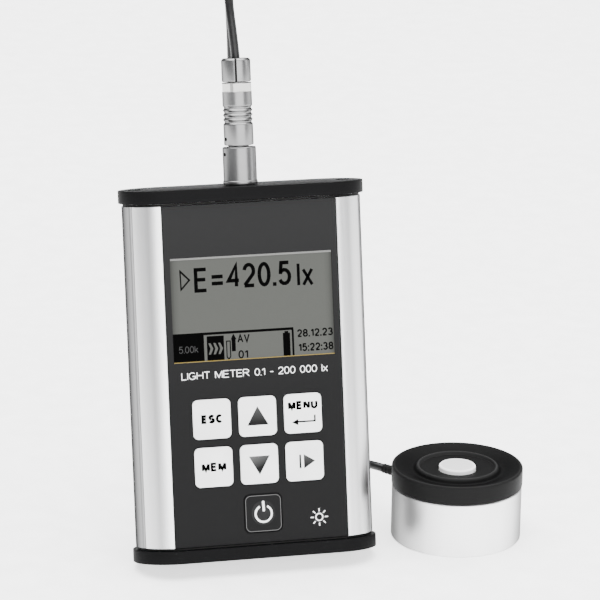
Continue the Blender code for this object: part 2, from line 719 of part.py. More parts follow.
def make_battery():
    """Two cells side by side in an open-backed holder behind the keypad board."""
    inside_x = CELL_PITCH / 2 + CELL_RADIUS + GAP
    front = CELL_Y - CELL_RADIUS - GAP
    back = CELL_Y + CELL_RADIUS
    low = CELL_LOW - SPRING_ROOM
    high = CELL_LOW + CELL_LENGTH + SPRING_ROOM
    wall = HOLDER_WALL
    outer = [((-inside_x - wall, front - wall, low - wall), (inside_x + wall, back, high + wall))]
    holder = part("battery_holder", boxes("battery_holder", outer), BLACK, METER, smooth=False)
    room = [((-inside_x, front, low), (inside_x, back + wall, high))]
    cut(holder, "battery_room", boxes("battery_room", room), METER)

    for side, name in ((-1, "battery_cell_left"), (1, "battery_cell_right")):
        x = side * CELL_PITCH / 2
        case_high = CELL_LOW + CELL_LENGTH - CELL_TIP
        case = rods(name, [((x, CELL_Y, CELL_LOW), (x, CELL_Y, case_high))], CELL_RADIUS, SIDES_MEDIUM)
        cell = part(name, case, CELL, METER)
        tip = ((x, CELL_Y, case_high - CELL_TIP), (x, CELL_Y, CELL_LOW + CELL_LENGTH))
        join(cell, name + "_tip", rods(name + "_tip", [tip], 2 * CELL_TIP), METER)

    plate = CELL_RADIUS * 0.6
    reach = CELL_PITCH / 2 + plate
    top = high - GAP
    link = [((-reach, CELL_Y - plate, top - CONTACT_SHEET), (reach, CELL_Y + plate, top))]
    part("battery_link", boxes("battery_link", link), STEEL, METER, smooth=False)
    base = low + GAP
    sheet = [((-reach, CELL_Y - plate, base), (reach, CELL_Y + plate, base + CONTACT_SHEET))]
    springs = part("battery_springs", boxes("battery_springs", sheet), STEEL, METER, smooth=False)
    bm = bmesh.new()
    for side in (-1, 1):
        x = side * CELL_PITCH / 2
        start = (x, CELL_Y, base + CONTACT_SHEET / 2)
        add_rod(bm, start, (x, CELL_Y, CELL_LOW - GAP), plate, plate / 2)
    join(springs, "spring_cones", mesh_of(bm, "spring_cones"), METER)


def contact_places():
    """The connector's contacts, on a circle about its axis."""
    angles = [2 * math.pi * number / CONTACT_COUNT for number in range(CONTACT_COUNT)]
    return [(CONTACT_CIRCLE * math.cos(angle), CONTACT_CIRCLE * math.sin(angle)) for angle in angles]


def make_insert(name, radius, low, high, parent):
    """A connector's round insulator."""
    span = ((0.0, 0.0, low), (0.0, 0.0, high))
    return part(name, rods(name, [span], radius, SIDES_MEDIUM), BLACK, parent)


def make_socket():
    base = BODY_HEIGHT + GAP
    edge = 0.0008
    stem_end = base - SOCKET_STEM_LENGTH
    profile = [
        (SOCKET_RADIUS - edge, SOCKET_TOP),
        (SOCKET_RADIUS - 0.3 * edge, SOCKET_TOP - 0.3 * edge),
        (SOCKET_RADIUS, SOCKET_TOP - edge),
        (SOCKET_RADIUS, base + SOCKET_FLANGE_HEIGHT),
        (SOCKET_FLANGE_RADIUS, base + SOCKET_FLANGE_HEIGHT - GAP),
        (SOCKET_FLANGE_RADIUS, base),
        (SOCKET_STEM_RADIUS, base),
        (SOCKET_STEM_RADIUS, stem_end),
        (SOCKET_BORE, stem_end),
        (SOCKET_BORE, SOCKET_TOP - edge),
        (SOCKET_BORE + edge, SOCKET_TOP),
    ]
    part("sensor_socket", turned("sensor_socket", profile, SIDES_LARGE), CHROME, METER)
    top = BODY_HEIGHT - CAP_HEIGHT - GAP
    span = ((0.0, 0.0, top - SOCKET_NUT_HEIGHT), (0.0, 0.0, top))
    nut = part("socket_nut", rods("socket_nut", [span], SOCKET_NUT_RADIUS, 6), STEEL, METER, smooth=False)
    hole = ((0.0, 0.0, top - 2 * SOCKET_NUT_HEIGHT), (0.0, 0.0, top + WALL))
    cut(nut, "nut_bore", rods("nut_bore", [hole], SOCKET_STEM_RADIUS + GAP, SIDES_LARGE), METER)
    low = stem_end + WALL
    high = low + 0.0060
    insert = make_insert("socket_insert", SOCKET_BORE - GAP, low, high, METER)
    spans = [((x, y, low - CONTACT_REACH), (x, y, high + CONTACT_REACH)) for x, y in contact_places()]
    join(insert, "socket_pins", rods("socket_pins", spans, CONTACT_RADIUS, 8), METER)


def plug_profile():
    """The plug shell's profile, down its outer side and up its bore."""
    radius, edge = PLUG_RADIUS, 0.0004
    top = PLUG_LOW + PLUG_FLAT_START + PLUG_FLAT_HEIGHT
    grip = PLUG_LOW + PLUG_GRIP_START
    points = [(radius - edge, top), (radius, top - edge)]
    for ridge in reversed(range(PLUG_GRIP_COUNT)):
        middle = grip + (ridge + 0.5) * PLUG_GRIP_PITCH
        points.append((radius, middle + 0.45 * PLUG_GRIP_PITCH))
        points.append((radius - PLUG_GRIP_DEPTH, middle + 0.18 * PLUG_GRIP_PITCH))
        points.append((radius - PLUG_GRIP_DEPTH, middle - 0.18 * PLUG_GRIP_PITCH))
    points.append((radius, grip))
    points.append((radius, PLUG_LOW + edge))
    points.append((radius - edge, PLUG_LOW))
    room = PLUG_LOW + PLUG_FLAT_START - WALL
    points.append((PLUG_SHELL_BORE, PLUG_LOW))
    points.append((PLUG_SHELL_BORE, room))
    points.append((CABLE_DIAMETER / 2 + GAP, room))
    points.append((CABLE_DIAMETER / 2 + GAP, top))
    return points


def make_plug():
    """The plug shell, which the nut closes around the cable, and the latch sleeve that slides in it."""
    shell = part("plug_shell", turned("plug_shell", plug_profile(), SIDES_LARGE), CHROME, PLUG)
    low = PLUG_LOW + PLUG_FLAT_START
    high = low + PLUG_FLAT_HEIGHT - 2 * GAP
    wide = 2 * PLUG_RADIUS
    for quarter in range(4):
        turn = Matrix.Rotation(PLUG_FLAT_TURN + quarter * math.pi / 2, 4, "Z")
        block = bmesh.new()
        add_box(block, (PLUG_FLAT_HALF, -wide, low), (wide, wide, high))
        bmesh.ops.transform(block, matrix=turn, verts=block.verts)
        cut(shell, "wrench_flat_%d" % quarter, mesh_of(block, "flat"), PLUG)

    room_top = PLUG_LOW + PLUG_FLAT_START - WALL
    sleeve_high = room_top - LATCH_TRAVEL - WALL
    nose_low = PLUG_LOW - NOSE_LENGTH
    inner = NOSE_RADIUS - NOSE_WALL
    profile = [
        (PLUG_SHELL_BORE - GAP, sleeve_high),
        (PLUG_SHELL_BORE - GAP, PLUG_LOW + LATCH_TRAVEL + WALL),
        (NOSE_RADIUS, PLUG_LOW + LATCH_TRAVEL + WALL / 2),
        (NOSE_RADIUS, nose_low + 0.0004),
        (NOSE_RADIUS - 0.0003, nose_low),
        (inner, nose_low),
        (inner, sleeve_high),
    ]
    part("latch_sleeve", turned("latch_sleeve", profile, SIDES_LARGE), CHROME, LATCH)

    insert_low = nose_low + 0.0012
    insert_high = PLUG_LOW + 0.0060
    insert = make_insert("plug_insert", inner - GAP, insert_low, insert_high, PLUG)
    spans = [((x, y, insert_low - WALL), (x, y, insert_low + CONTACT_REACH)) for x, y in contact_places()]
    cut(insert, "pin_holes", rods("pin_holes", spans, CONTACT_RADIUS + GAP, 8), PLUG)


def make_collet_nut():
    edge = 0.0006
    bore = CABLE_DIAMETER / 2 + GAP
    room_high = NUT_HIGH - WALL
    profile = [
        (NUT_RADIUS - edge, NUT_HIGH),
        (NUT_RADIUS, NUT_HIGH - edge),
        (NUT_RADIUS, NUT_LOW + GAP),
        (NUT_RADIUS - GAP, NUT_LOW),
        (CLAMP_RADIUS + GAP, NUT_LOW),
        (CLAMP_RADIUS + GAP, room_high),
        (bore, room_high),
        (bore, NUT_HIGH),
    ]
    nut = part("collet_nut", turned("collet_nut", profile, SIDES_LARGE), CHROME, PLUG)
    half = NUT_SLOT_WIDTH / 2
    inner = NUT_RADIUS - NUT_SLOT_DEPTH
    for number in range(4):
        block = bmesh.new()
        add_box(block, (inner, -half, NUT_LOW - WALL), (2 * inner, half, NUT_HIGH + WALL))
        turn = Matrix.Rotation(math.radians(257) + number * math.pi / 2, 4, "Z")
        bmesh.ops.transform(block, matrix=turn, verts=block.verts)
        cut(nut, "nut_slot_%d" % number, mesh_of(block, "slot"), PLUG)
    profile = [
        (CLAMP_RADIUS, room_high - GAP),
        (CLAMP_RADIUS, NUT_LOW + GAP),
        (bore, NUT_LOW + GAP),
        (bore, room_high - GAP),
    ]
    part("cable_clamp", turned("cable_clamp", profile, SIDES_MEDIUM), BRASS, PLUG)


def rivet_places():
    """x and z of the two rivets that hold the stand's bracket to the rear shell."""
    z = STAND_HINGE_Z + STAND_PLATE_HEIGHT / 3
    return [(-STAND_WIDTH / 4, z), (STAND_WIDTH / 4, z)]


def make_stand():
    """A bracket riveted to the back, a pin through its lugs, and a leg with a rubber foot."""
    back = BODY_DEPTH / 2 + GAP
    half = STAND_WIDTH / 2 + GAP + STAND_LUG_WIDTH
    low, high = STAND_HINGE_Z - STAND_PLATE_HEIGHT / 2, STAND_HINGE_Z + STAND_PLATE_HEIGHT / 2
    plate_back = back + STAND_PLATE_THICKNESS
    plate = boxes("stand_bracket", [((-half, back, low), (half, plate_back, high))])
    bracket = part("stand_bracket", plate, BLACK, METER, smooth=False)
    reach = STAND_HINGE_Y + STAND_KNUCKLE_RADIUS
    for side in (-1, 1):
        inner = side * (half - STAND_LUG_WIDTH)
        left, right = sorted((inner, side * half))
        first = (left, back + GAP, STAND_HINGE_Z - STAND_KNUCKLE_RADIUS)
        lug = boxes("lug", [(first, (right, reach, STAND_HINGE_Z + STAND_KNUCKLE_RADIUS))])
        join(bracket, "lug_%d" % (side + 1), lug, METER)
    bore = [((-2 * half, STAND_HINGE_Y, STAND_HINGE_Z), (2 * half, STAND_HINGE_Y, STAND_HINGE_Z))]
    bore_mesh = rods("stand_bore", bore, STAND_PIN_RADIUS + GAP)
    cut(bracket, "bracket_bore", bore_mesh, METER)
    spans = [((x, back - WALL, z), (x, plate_back + WALL, z)) for x, z in rivet_places()]
    cut(bracket, "bracket_rivet_holes", rods("bracket_rivet_holes", spans, RIVET_RADIUS + GAP), METER)

    pin = [((-half, STAND_HINGE_Y, STAND_HINGE_Z), (half, STAND_HINGE_Y, STAND_HINGE_Z))]
    part("stand_pin", rods("stand_pin", pin, STAND_PIN_RADIUS), STEEL, METER)

    inside = BODY_DEPTH / 2 - WALL
    for name, (x, z) in zip(("stand_rivet_left", "stand_rivet_right"), rivet_places()):
        head = ((x, plate_back + GAP, z), (x, plate_back + 3 * GAP, z))
        rivet = part(name, rods(name, [head], 2 * RIVET_RADIUS), STEEL, METER)
        shank = ((x, inside - GAP, z), (x, plate_back + 2 * GAP, z))
        join(rivet, name + "_shank", rods(name + "_shank", [shank], RIVET_RADIUS, 8), METER)

    half = STAND_WIDTH / 2
    thick = STAND_THICKNESS / 2
    low = -STAND_LENGTH + STAND_FOOT_RADIUS + GAP
    leg = boxes("stand_leg", [((-half, -thick, low), (half, thick, 0.0))])
    leg = part("stand_leg", leg, BLACK, STAND, smooth=False)
    knuckle = rods("knuckle", [((-half, 0.0, 0.0), (half, 0.0, 0.0))], STAND_KNUCKLE_RADIUS, SIDES_MEDIUM)
    join(leg, "stand_knuckle", knuckle, STAND)
    bore = rods("leg_bore", [((-2 * half, 0.0, 0.0), (2 * half, 0.0, 0.0))], STAND_PIN_RADIUS + GAP)
    cut(leg, "leg_bore", bore, STAND)
    foot = [((-half, 0.0, -STAND_LENGTH), (half, 0.0, -STAND_LENGTH))]
    part("stand_foot", rods("stand_foot", foot, STAND_FOOT_RADIUS, SIDES_MEDIUM), RUBBER, STAND)


def make_sensor_shells():
    inner = SENSOR_RADIUS - SENSOR_WALL
    edge = 0.0005
    ledge = inner - SENSOR_LEDGE
    profile = [
        (SENSOR_RADIUS - edge, SENSOR_BODY_HEIGHT),
        (SENSOR_RADIUS, SENSOR_BODY_HEIGHT - edge),
        (SENSOR_RADIUS, edge),
        (SENSOR_RADIUS - edge, 0.0),
        (inner, 0.0),
        (inner, GAP + BASE_PLATE_THICKNESS + GAP),
        (ledge, GAP + BASE_PLATE_THICKNESS + GAP),
        (ledge, SENSOR_BOARD_Z - GAP),
        (inner, SENSOR_BOARD_Z - GAP),
        (inner, SENSOR_BODY_HEIGHT),
    ]
    body = part("sensor_body", turned("sensor_body", profile, SIDES_HEAD), ALUMINIUM, SENSOR)
    way = Vector((math.cos(BOOT_ANGLE), math.sin(BOOT_ANGLE), 0.0))
    lift = Vector((0.0, 0.0, BOOT_Z))
    span = (lift + way * (inner - WALL), lift + way * (SENSOR_RADIUS + WALL))
    cut(body, "boot_hole", rods("boot_hole", [span], BOOT_RADIUS - 0.0002 + GAP), SENSOR)

    top, low = COVER_TOP, COVER_LOW
    recess = top - INNER_RECESS_DEPTH
    hole = DIFFUSER_RADIUS + 0.0004
    ceiling = top - COVER_CEILING
    profile = [
        (COVER_RADIUS - COVER_EDGE, top),
        (COVER_RADIUS - 0.3 * COVER_EDGE, top - 0.3 * COVER_EDGE),
        (COVER_RADIUS, top - COVER_EDGE),
        (COVER_RADIUS, low),
        (COVER_RADIUS - COVER_WALL, low),
        (COVER_RADIUS - COVER_WALL, ceiling),
        (hole, ceiling),
        (hole, recess),
        (INNER_RECESS_RADIUS, recess),
        (INNER_RECESS_RADIUS + 0.0002, top - 0.0002),
        (INNER_RING_TOP, top - 0.0002),
        (INNER_RING_RADIUS, top - VALLEY_DEPTH),
        (VALLEY_RADIUS, top - VALLEY_DEPTH - 0.0001),
        (0.0235, top - 0.0009),
        (COVER_RADIUS - 2.2 * COVER_EDGE, top - 0.0001),
    ]
    part("sensor_cover", turned("sensor_cover", profile, SIDES_HEAD), BLACK, SENSOR)

    profile = [
        (inner - GAP, COVER_LOW + 0.0010),
        (inner - GAP, COVER_LOW - 0.0006),
        (inner - 0.0014, COVER_LOW - 0.0006),
        (inner - 0.0014, COVER_LOW + 0.0010),
    ]
    part("cover_seal", turned("cover_seal", profile, SIDES_LARGE), RUBBER, SENSOR)


def make_sensor_optics():
    top, ceiling = COVER_TOP, COVER_TOP - COVER_CEILING
    edge = 0.0004
    flange_top = ceiling - GAP
    profile = [
        (0.0, top),
        (DIFFUSER_RADIUS - edge, top),
        (DIFFUSER_RADIUS, top - edge),
        (DIFFUSER_RADIUS, flange_top),
        (DIFFUSER_FLANGE, flange_top),
        (DIFFUSER_FLANGE, flange_top - 0.0012),
        (0.0, flange_top - 0.0012),
    ]
    part("diffuser", turned("diffuser", profile, SIDES_LARGE, closed=False), OPAL, SENSOR)
    high = flange_top - 0.0012 - GAP
    board_top = SENSOR_BOARD_Z + SENSOR_BOARD_THICKNESS
    profile = [
        (FILTER_RADIUS + 0.0017, high),
        (FILTER_RADIUS + 0.0017, board_top + GAP),
        (FILTER_RADIUS + GAP, board_top + GAP),
        (FILTER_RADIUS + GAP, high),
    ]
    part("filter_holder", turned("filter_holder", profile, SIDES_MEDIUM), BLACK, SENSOR)
    level = high - GAP - FILTER_THICKNESS
    glass = ((0.0, 0.0, level), (0.0, 0.0, high - GAP))
    part("filter_stack", rods("filter_stack", [glass], FILTER_RADIUS, SIDES_MEDIUM), FILTER, SENSOR)
    can = ((0.0, 0.0, board_top + GAP), (0.0, 0.0, level - GAP))
    part("photodiode", rods("photodiode", [can], DIODE_RADIUS, SIDES_MEDIUM), STEEL, SENSOR)


def make_sensor_inside():
    """The threaded base plate with two spanner holes, and the board on the body's ledge."""
    plate_top = GAP + BASE_PLATE_THICKNESS
    radius = SENSOR_RADIUS - SENSOR_WALL - GAP
    span = ((0.0, 0.0, GAP), (0.0, 0.0, plate_top))
    mesh = rods("sensor_base_plate", [span], radius, SIDES_HEAD)
    plate = part("sensor_base_plate", mesh, ALUMINIUM, SENSOR)
    depth = BASE_PLATE_THICKNESS * 0.6
    holes = [((x, 0.0, -WALL), (x, 0.0, depth)) for x in (-SPANNER_HOLE_X, SPANNER_HOLE_X)]
    cut(plate, "spanner_holes", rods("spanner_holes", holes, SPANNER_HOLE_RADIUS), SENSOR)
    span = ((0.0, 0.0, SENSOR_BOARD_Z), (0.0, 0.0, SENSOR_BOARD_Z + SENSOR_BOARD_THICKNESS))
    part("sensor_board", rods("sensor_board", [span], radius, SIDES_LARGE), BOARD, SENSOR)


def make_boot():
    """The cable's strain relief: a short tapered sleeve in the side of the sensor body."""
    way = Vector((math.cos(BOOT_ANGLE), math.sin(BOOT_ANGLE), 0.0))
    lift = Vector((0.0, 0.0, BOOT_Z))
    start = lift + way * (SENSOR_RADIUS + GAP)
    bm = bmesh.new()
    add_rod(bm, start, start + way * BOOT_LENGTH, BOOT_RADIUS, BOOT_RADIUS - 0.0003, SIDES_MEDIUM)
    boot = part("strain_relief", mesh_of(bm, "strain_relief"), RUBBER, SENSOR)
    inside = lift + way * (SENSOR_RADIUS - SENSOR_WALL + GAP)
    neck = rods("boot_neck", [(inside, start + way * GAP)], BOOT_RADIUS - 0.0002)
    join(boot, "boot_neck", neck, SENSOR)
    return start + way * (BOOT_LENGTH + GAP), way


def smooth_line(points, spacing):
    """Points a spacing apart on a smooth curve through the given points."""
    knots = [Vector(point) for point in points]
    ends = [2 * knots[0] - knots[1]] + knots + [2 * knots[-1] - knots[-2]]
    fine = []
    for before, start, end, after in zip(ends, ends[1:], ends[2:], ends[3:]):
        for step in range(12):
            t = step / 12
            along = (end - before) * t
            square = (2 * before - 5 * start + 4 * end - after) * t * t
            cube = (3 * start - before - 3 * end + after) * t * t * t
            fine.append(start + 0.5 * (along + square + cube))
    fine.append(knots[-1])
    total = sum((b - a).length for a, b in zip(fine, fine[1:]))
    count = max(2, round(total / spacing))
    line, walked, goal = [fine[0]], 0.0, total / count
    for a, b in zip(fine, fine[1:]):
        length = (b - a).length
        while walked + length >= goal * len(line) and len(line) < count:
            line.append(a.lerp(b, (goal * len(line) - walked) / length))
        walked += length
    line.append(fine[-1])
    return line


def make_cable_run(name, points):
    """A plain round tube along a smooth route."""
    curve = bpy.data.curves.new(name, "CURVE")
    curve.dimensions = "3D"
    curve.bevel_depth = CABLE_DIAMETER / 2
    curve.bevel_resolution = 2
    curve.use_fill_caps = True
    line = smooth_line(points, 2.6 * CABLE_DIAMETER)
    spline = curve.splines.new("POLY")
    spline.points.add(len(line) - 1)
    for point, place in zip(spline.points, line):
        point.co = (*place, 1.0)
    curve.materials.append(CABLE)
    run = bpy.data.objects.new(name, curve)
    PARTS.objects.link(run)


def make_cable(boot_end, boot_way):
    """The cable leaves the nut along the plug's axis and ends at the sensor head's strain relief."""
    foot = Vector((METER_X, METER_Y, 0.0))
    lean = Matrix.Rotation(-LEAN, 4, "X")
    start = foot + Vector((0.0, 0.0, LIFT)) + lean @ Vector((0.0, 0.0, NUT_HIGH))
    axis = lean @ Vector((0.0, 0.0, 1.0))
    first = start - axis * (NUT_HIGH - NUT_LOW - GAP)
    route = [first, start] + [foot + Vector(point) for point in PLUG_ROUTE]
    make_cable_run("sensor_cable", route)
    head = foot + Vector((*SENSOR_PLACE, 0.0))
    end = head + boot_end
    route = [foot + Vector(point) for point in SENSOR_ROUTE]
    make_cable_run("sensor_cable_end", route + [end + boot_way * 0.0035, end])

    half, edge = COIL_BUNDLE / 2, COIL_EDGE
    low, mean = TIE_THICKNESS + 2 * GAP, COIL_MEAN_RADIUS
    profile = [
        (mean + half - edge, low + COIL_BUNDLE),
        (mean + half, low + COIL_BUNDLE - edge),
        (mean + half, low + edge),
        (mean + half - edge, low),
        (mean - half + edge, low),
        (mean - half, low + edge),
        (mean - half, low + COIL_BUNDLE - edge),
        (mean - half + edge, low + COIL_BUNDLE),
    ]
    place = frame("coil_frame", foot + Vector((*COIL_PLACE, 0.0)))
    part("cable_coil", turned("cable_coil", profile, SIDES_COIL), CABLE, place)
    curve_in = TIE_WIDTH ** 2 / (8 * (mean - half)) + GAP
    near, far = mean - half - GAP - curve_in, mean + half + GAP
    top = low + COIL_BUNDLE + GAP
    inner = rectangle(near, low - GAP, far, top)
    outer = rectangle(near - TIE_THICKNESS, GAP, far + TIE_THICKNESS, top + TIE_THICKNESS)
    tie_place = frame("tie_frame", place.location, (0.0, 0.0, math.radians(90)))
    tie = extruded("coil_tie", [outer, inner], -TIE_WIDTH / 2, TIE_WIDTH / 2, True)
    part("coil_tie", tie, RUBBER, tie_place, smooth=False)


clear_scene()
PARTS = collection(OBJECT_NAME)
CUTTERS = collection("cutters")
ALUMINIUM = material("satin_aluminium", (0.80, 0.80, 0.80), 0.34, 1.0)
CHROME = material("matte_chrome", (0.72, 0.72, 0.72), 0.26, 1.0)
STEEL = material("steel", (0.55, 0.55, 0.56), 0.35, 1.0)
BRASS = material("brass", (0.75, 0.58, 0.28), 0.35, 1.0)
BLACK = material("black_plastic", (0.020, 0.020, 0.021), 0.55)
RUBBER = material("black_rubber", (0.025, 0.025, 0.025), 0.80)
FOIL = material("dark_grey_foil", (0.060, 0.061, 0.063), 0.50)
WHITE = material("white_plastic", (0.85, 0.85, 0.85), 0.45)
LCD = material("display_grey", (0.27, 0.28, 0.25), 0.30)
CLEAR = material("clear_plastic", (0.90, 0.90, 0.90), 0.08)
BOARD = material("circuit_board", (0.03, 0.16, 0.07), 0.50)
CELL = material("cell_sleeve", (0.10, 0.11, 0.14), 0.35)
OPAL = material("opal_plastic", (0.88, 0.88, 0.86), 0.60)
FILTER = material("green_filter_glass", (0.25, 0.42, 0.20), 0.10)
CABLE = material("black_cable", (0.022, 0.022, 0.023), 0.60)

METER = frame("meter_frame", (METER_X, METER_Y, LIFT), (-LEAN, 0.0, 0.0))
SENSOR = frame("sensor_frame", (METER_X + SENSOR_PLACE[0], METER_Y + SENSOR_PLACE[1], 0.0))
PLUG = frame("plug_frame", (0.0, 0.0, 0.0), parent=METER)
LATCH = frame("latch_frame", (0.0, 0.0, 0.0), parent=PLUG)
STAND = frame("stand_frame", (0.0, STAND_HINGE_Y, STAND_HINGE_Z), (STAND_OPEN, 0.0, 0.0), METER)
bpy.context.view_layer.update()

make_housing()
make_panel()
make_display()
make_keys()
make_dome_sheet()
make_boards()
make_battery()
make_socket()
make_plug()
make_collet_nut()
make_stand()
make_sensor_shells()
make_sensor_optics()
make_sensor_inside()
make_cable(*make_boot())
bpy.context.view_layer.update()
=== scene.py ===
"""Looks of the handheld light meter and its sensor head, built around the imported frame.

Pieces of the meter are modelled in the housing's own frame: x to the right, y to the back, z up along the
housing, with the origin on the bottom end cap. Pieces of the sensor head are modelled upright about its
axis, with z = 0 on the floor. Everything is in metres.
"""

import json
from math import asin, cos, hypot, pi, radians, sin

import bmesh
import bpy
from mathutils import Matrix, Vector


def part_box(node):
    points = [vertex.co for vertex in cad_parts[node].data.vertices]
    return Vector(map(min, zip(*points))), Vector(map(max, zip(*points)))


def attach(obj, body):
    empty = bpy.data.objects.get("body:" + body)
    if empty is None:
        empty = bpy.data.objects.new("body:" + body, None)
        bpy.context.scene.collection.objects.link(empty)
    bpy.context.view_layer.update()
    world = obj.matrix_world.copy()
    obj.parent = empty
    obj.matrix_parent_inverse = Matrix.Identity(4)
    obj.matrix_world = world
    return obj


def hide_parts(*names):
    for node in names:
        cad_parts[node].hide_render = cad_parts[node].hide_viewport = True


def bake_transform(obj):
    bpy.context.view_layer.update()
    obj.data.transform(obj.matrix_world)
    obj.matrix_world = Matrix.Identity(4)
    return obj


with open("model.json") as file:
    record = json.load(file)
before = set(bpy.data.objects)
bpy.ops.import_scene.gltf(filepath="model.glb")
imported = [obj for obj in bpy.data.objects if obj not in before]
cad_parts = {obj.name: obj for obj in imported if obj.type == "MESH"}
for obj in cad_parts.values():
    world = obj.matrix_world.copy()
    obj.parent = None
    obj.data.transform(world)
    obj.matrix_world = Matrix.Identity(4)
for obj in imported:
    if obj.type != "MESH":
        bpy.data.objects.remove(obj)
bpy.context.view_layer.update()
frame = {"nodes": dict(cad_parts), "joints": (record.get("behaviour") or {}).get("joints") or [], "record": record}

MM = 0.001
GAP = 0.3 * MM
SHARP = radians(32)


# ---------------------------------------------------------------- places, read from the frame
JOINTS = {joint["name"]: joint for joint in frame["joints"]}
MOUNTS = {mount["name"]: mount for mount in frame["record"]["mounts"]}
UP = Vector(JOINTS["plug_pull"]["axis"])
BACK = Vector(JOINTS["key_esc_press"]["axis"])
FOOT = Vector(MOUNTS["bottom_cap_face"]["pos_m"])


def placed(x_axis, y_axis, z_axis, origin):
    """The matrix of a frame with those axes at that origin."""
    matrix = Matrix.Identity(4)
    for column, axis in enumerate((x_axis, y_axis, z_axis, origin)):
        for row in range(3):
            matrix[row][column] = axis[row]
    return matrix


METER = placed(Vector((1.0, 0.0, 0.0)), BACK, UP, FOOT)
METER_BACK = METER.inverted()


def meter_box(node):
    """Lowest and highest corners of a CAD node in the housing's frame."""
    points = [METER_BACK @ vertex.co for vertex in frame["nodes"][node].data.vertices]
    low = Vector([min(point[axis] for point in points) for axis in range(3)])
    high = Vector([max(point[axis] for point in points) for axis in range(3)])
    return low, high


HEAD_LOW, HEAD_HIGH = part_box("sensor_body")
HEAD_CENTRE = (HEAD_LOW + HEAD_HIGH) / 2
HEAD = Matrix.Translation((HEAD_CENTRE.x, HEAD_CENTRE.y, 0.0))
FLOOR_FOOT = Vector((FOOT.x, FOOT.y, 0.0))


# ---------------------------------------------------------------- camera, lights and floor
CAMERA_DISTANCE = 1.548
CAMERA_AZIMUTH = radians(13.93)
CAMERA_ELEVATION = radians(18.21)
CAMERA_ROLL = radians(0.97)
CAMERA_AIM = Vector((0.0230, 0.0244, 0.1030))
CAMERA_LENS = 227.6


def make_camera():
    """A long lens that looks down at the meter from its left."""
    back = Vector((
        -sin(CAMERA_AZIMUTH) * cos(CAMERA_ELEVATION),
        -cos(CAMERA_AZIMUTH) * cos(CAMERA_ELEVATION),
        sin(CAMERA_ELEVATION),
    ))
    right = Vector((cos(CAMERA_AZIMUTH), -sin(CAMERA_AZIMUTH), 0.0))
    over = back.cross(right)
    data = bpy.data.cameras.new("camera")
    data.lens = CAMERA_LENS
    data.sensor_width = 36.0
    data.clip_end = 20.0
    camera = bpy.data.objects.new("camera", data)
    bpy.context.scene.collection.objects.link(camera)
    place = placed(right, over, back, FLOOR_FOOT + CAMERA_AIM + CAMERA_DISTANCE * back)
    camera.matrix_world = place @ Matrix.Rotation(CAMERA_ROLL, 4, "Z")
    bpy.context.scene.camera = camera


def soft_light(name, place, aim, size, power):
    """A square softbox."""
    data = bpy.data.lights.new(name, "AREA")
    data.shape = "RECTANGLE"
    data.size, data.size_y = size
    data.energy = power
    light = bpy.data.objects.new(name, data)
    light.location = place
    light.rotation_euler = (Vector(aim) - Vector(place)).to_track_quat("-Z", "Y").to_euler()
    bpy.context.scene.collection.objects.link(light)


def make_studio():
    """A dim room round a bright stage: a soft ceiling, and softboxes in front and to the right."""
    world = bpy.data.worlds.new("studio")
    world.use_nodes = True
    sky = world.node_tree.nodes["Background"]
    sky.inputs["Color"].default_value = (0.97, 0.98, 1.0, 1.0)
    sky.inputs["Strength"].default_value = 0.55
    bpy.context.scene.world = world
    centre = (0.0, 0.0, 0.08)
    soft_light("ceiling_light", (0.0, 0.6, 2.6), (0.0, 0.6, 0.0), (4.0, 4.0), 360.0)
    soft_light("front_light", (0.25, -2.4, 0.85), centre, (3.2, 1.6), 85.0)
    soft_light("side_light", (2.2, -0.2, 0.9), centre, (0.8, 1.2), 14.0)
    bpy.ops.mesh.primitive_plane_add(size=16.0, location=grey(0.0))
    floor = bpy.context.object
    floor.name = "floor"
    floor.data.materials.append(PALE_FLOOR)


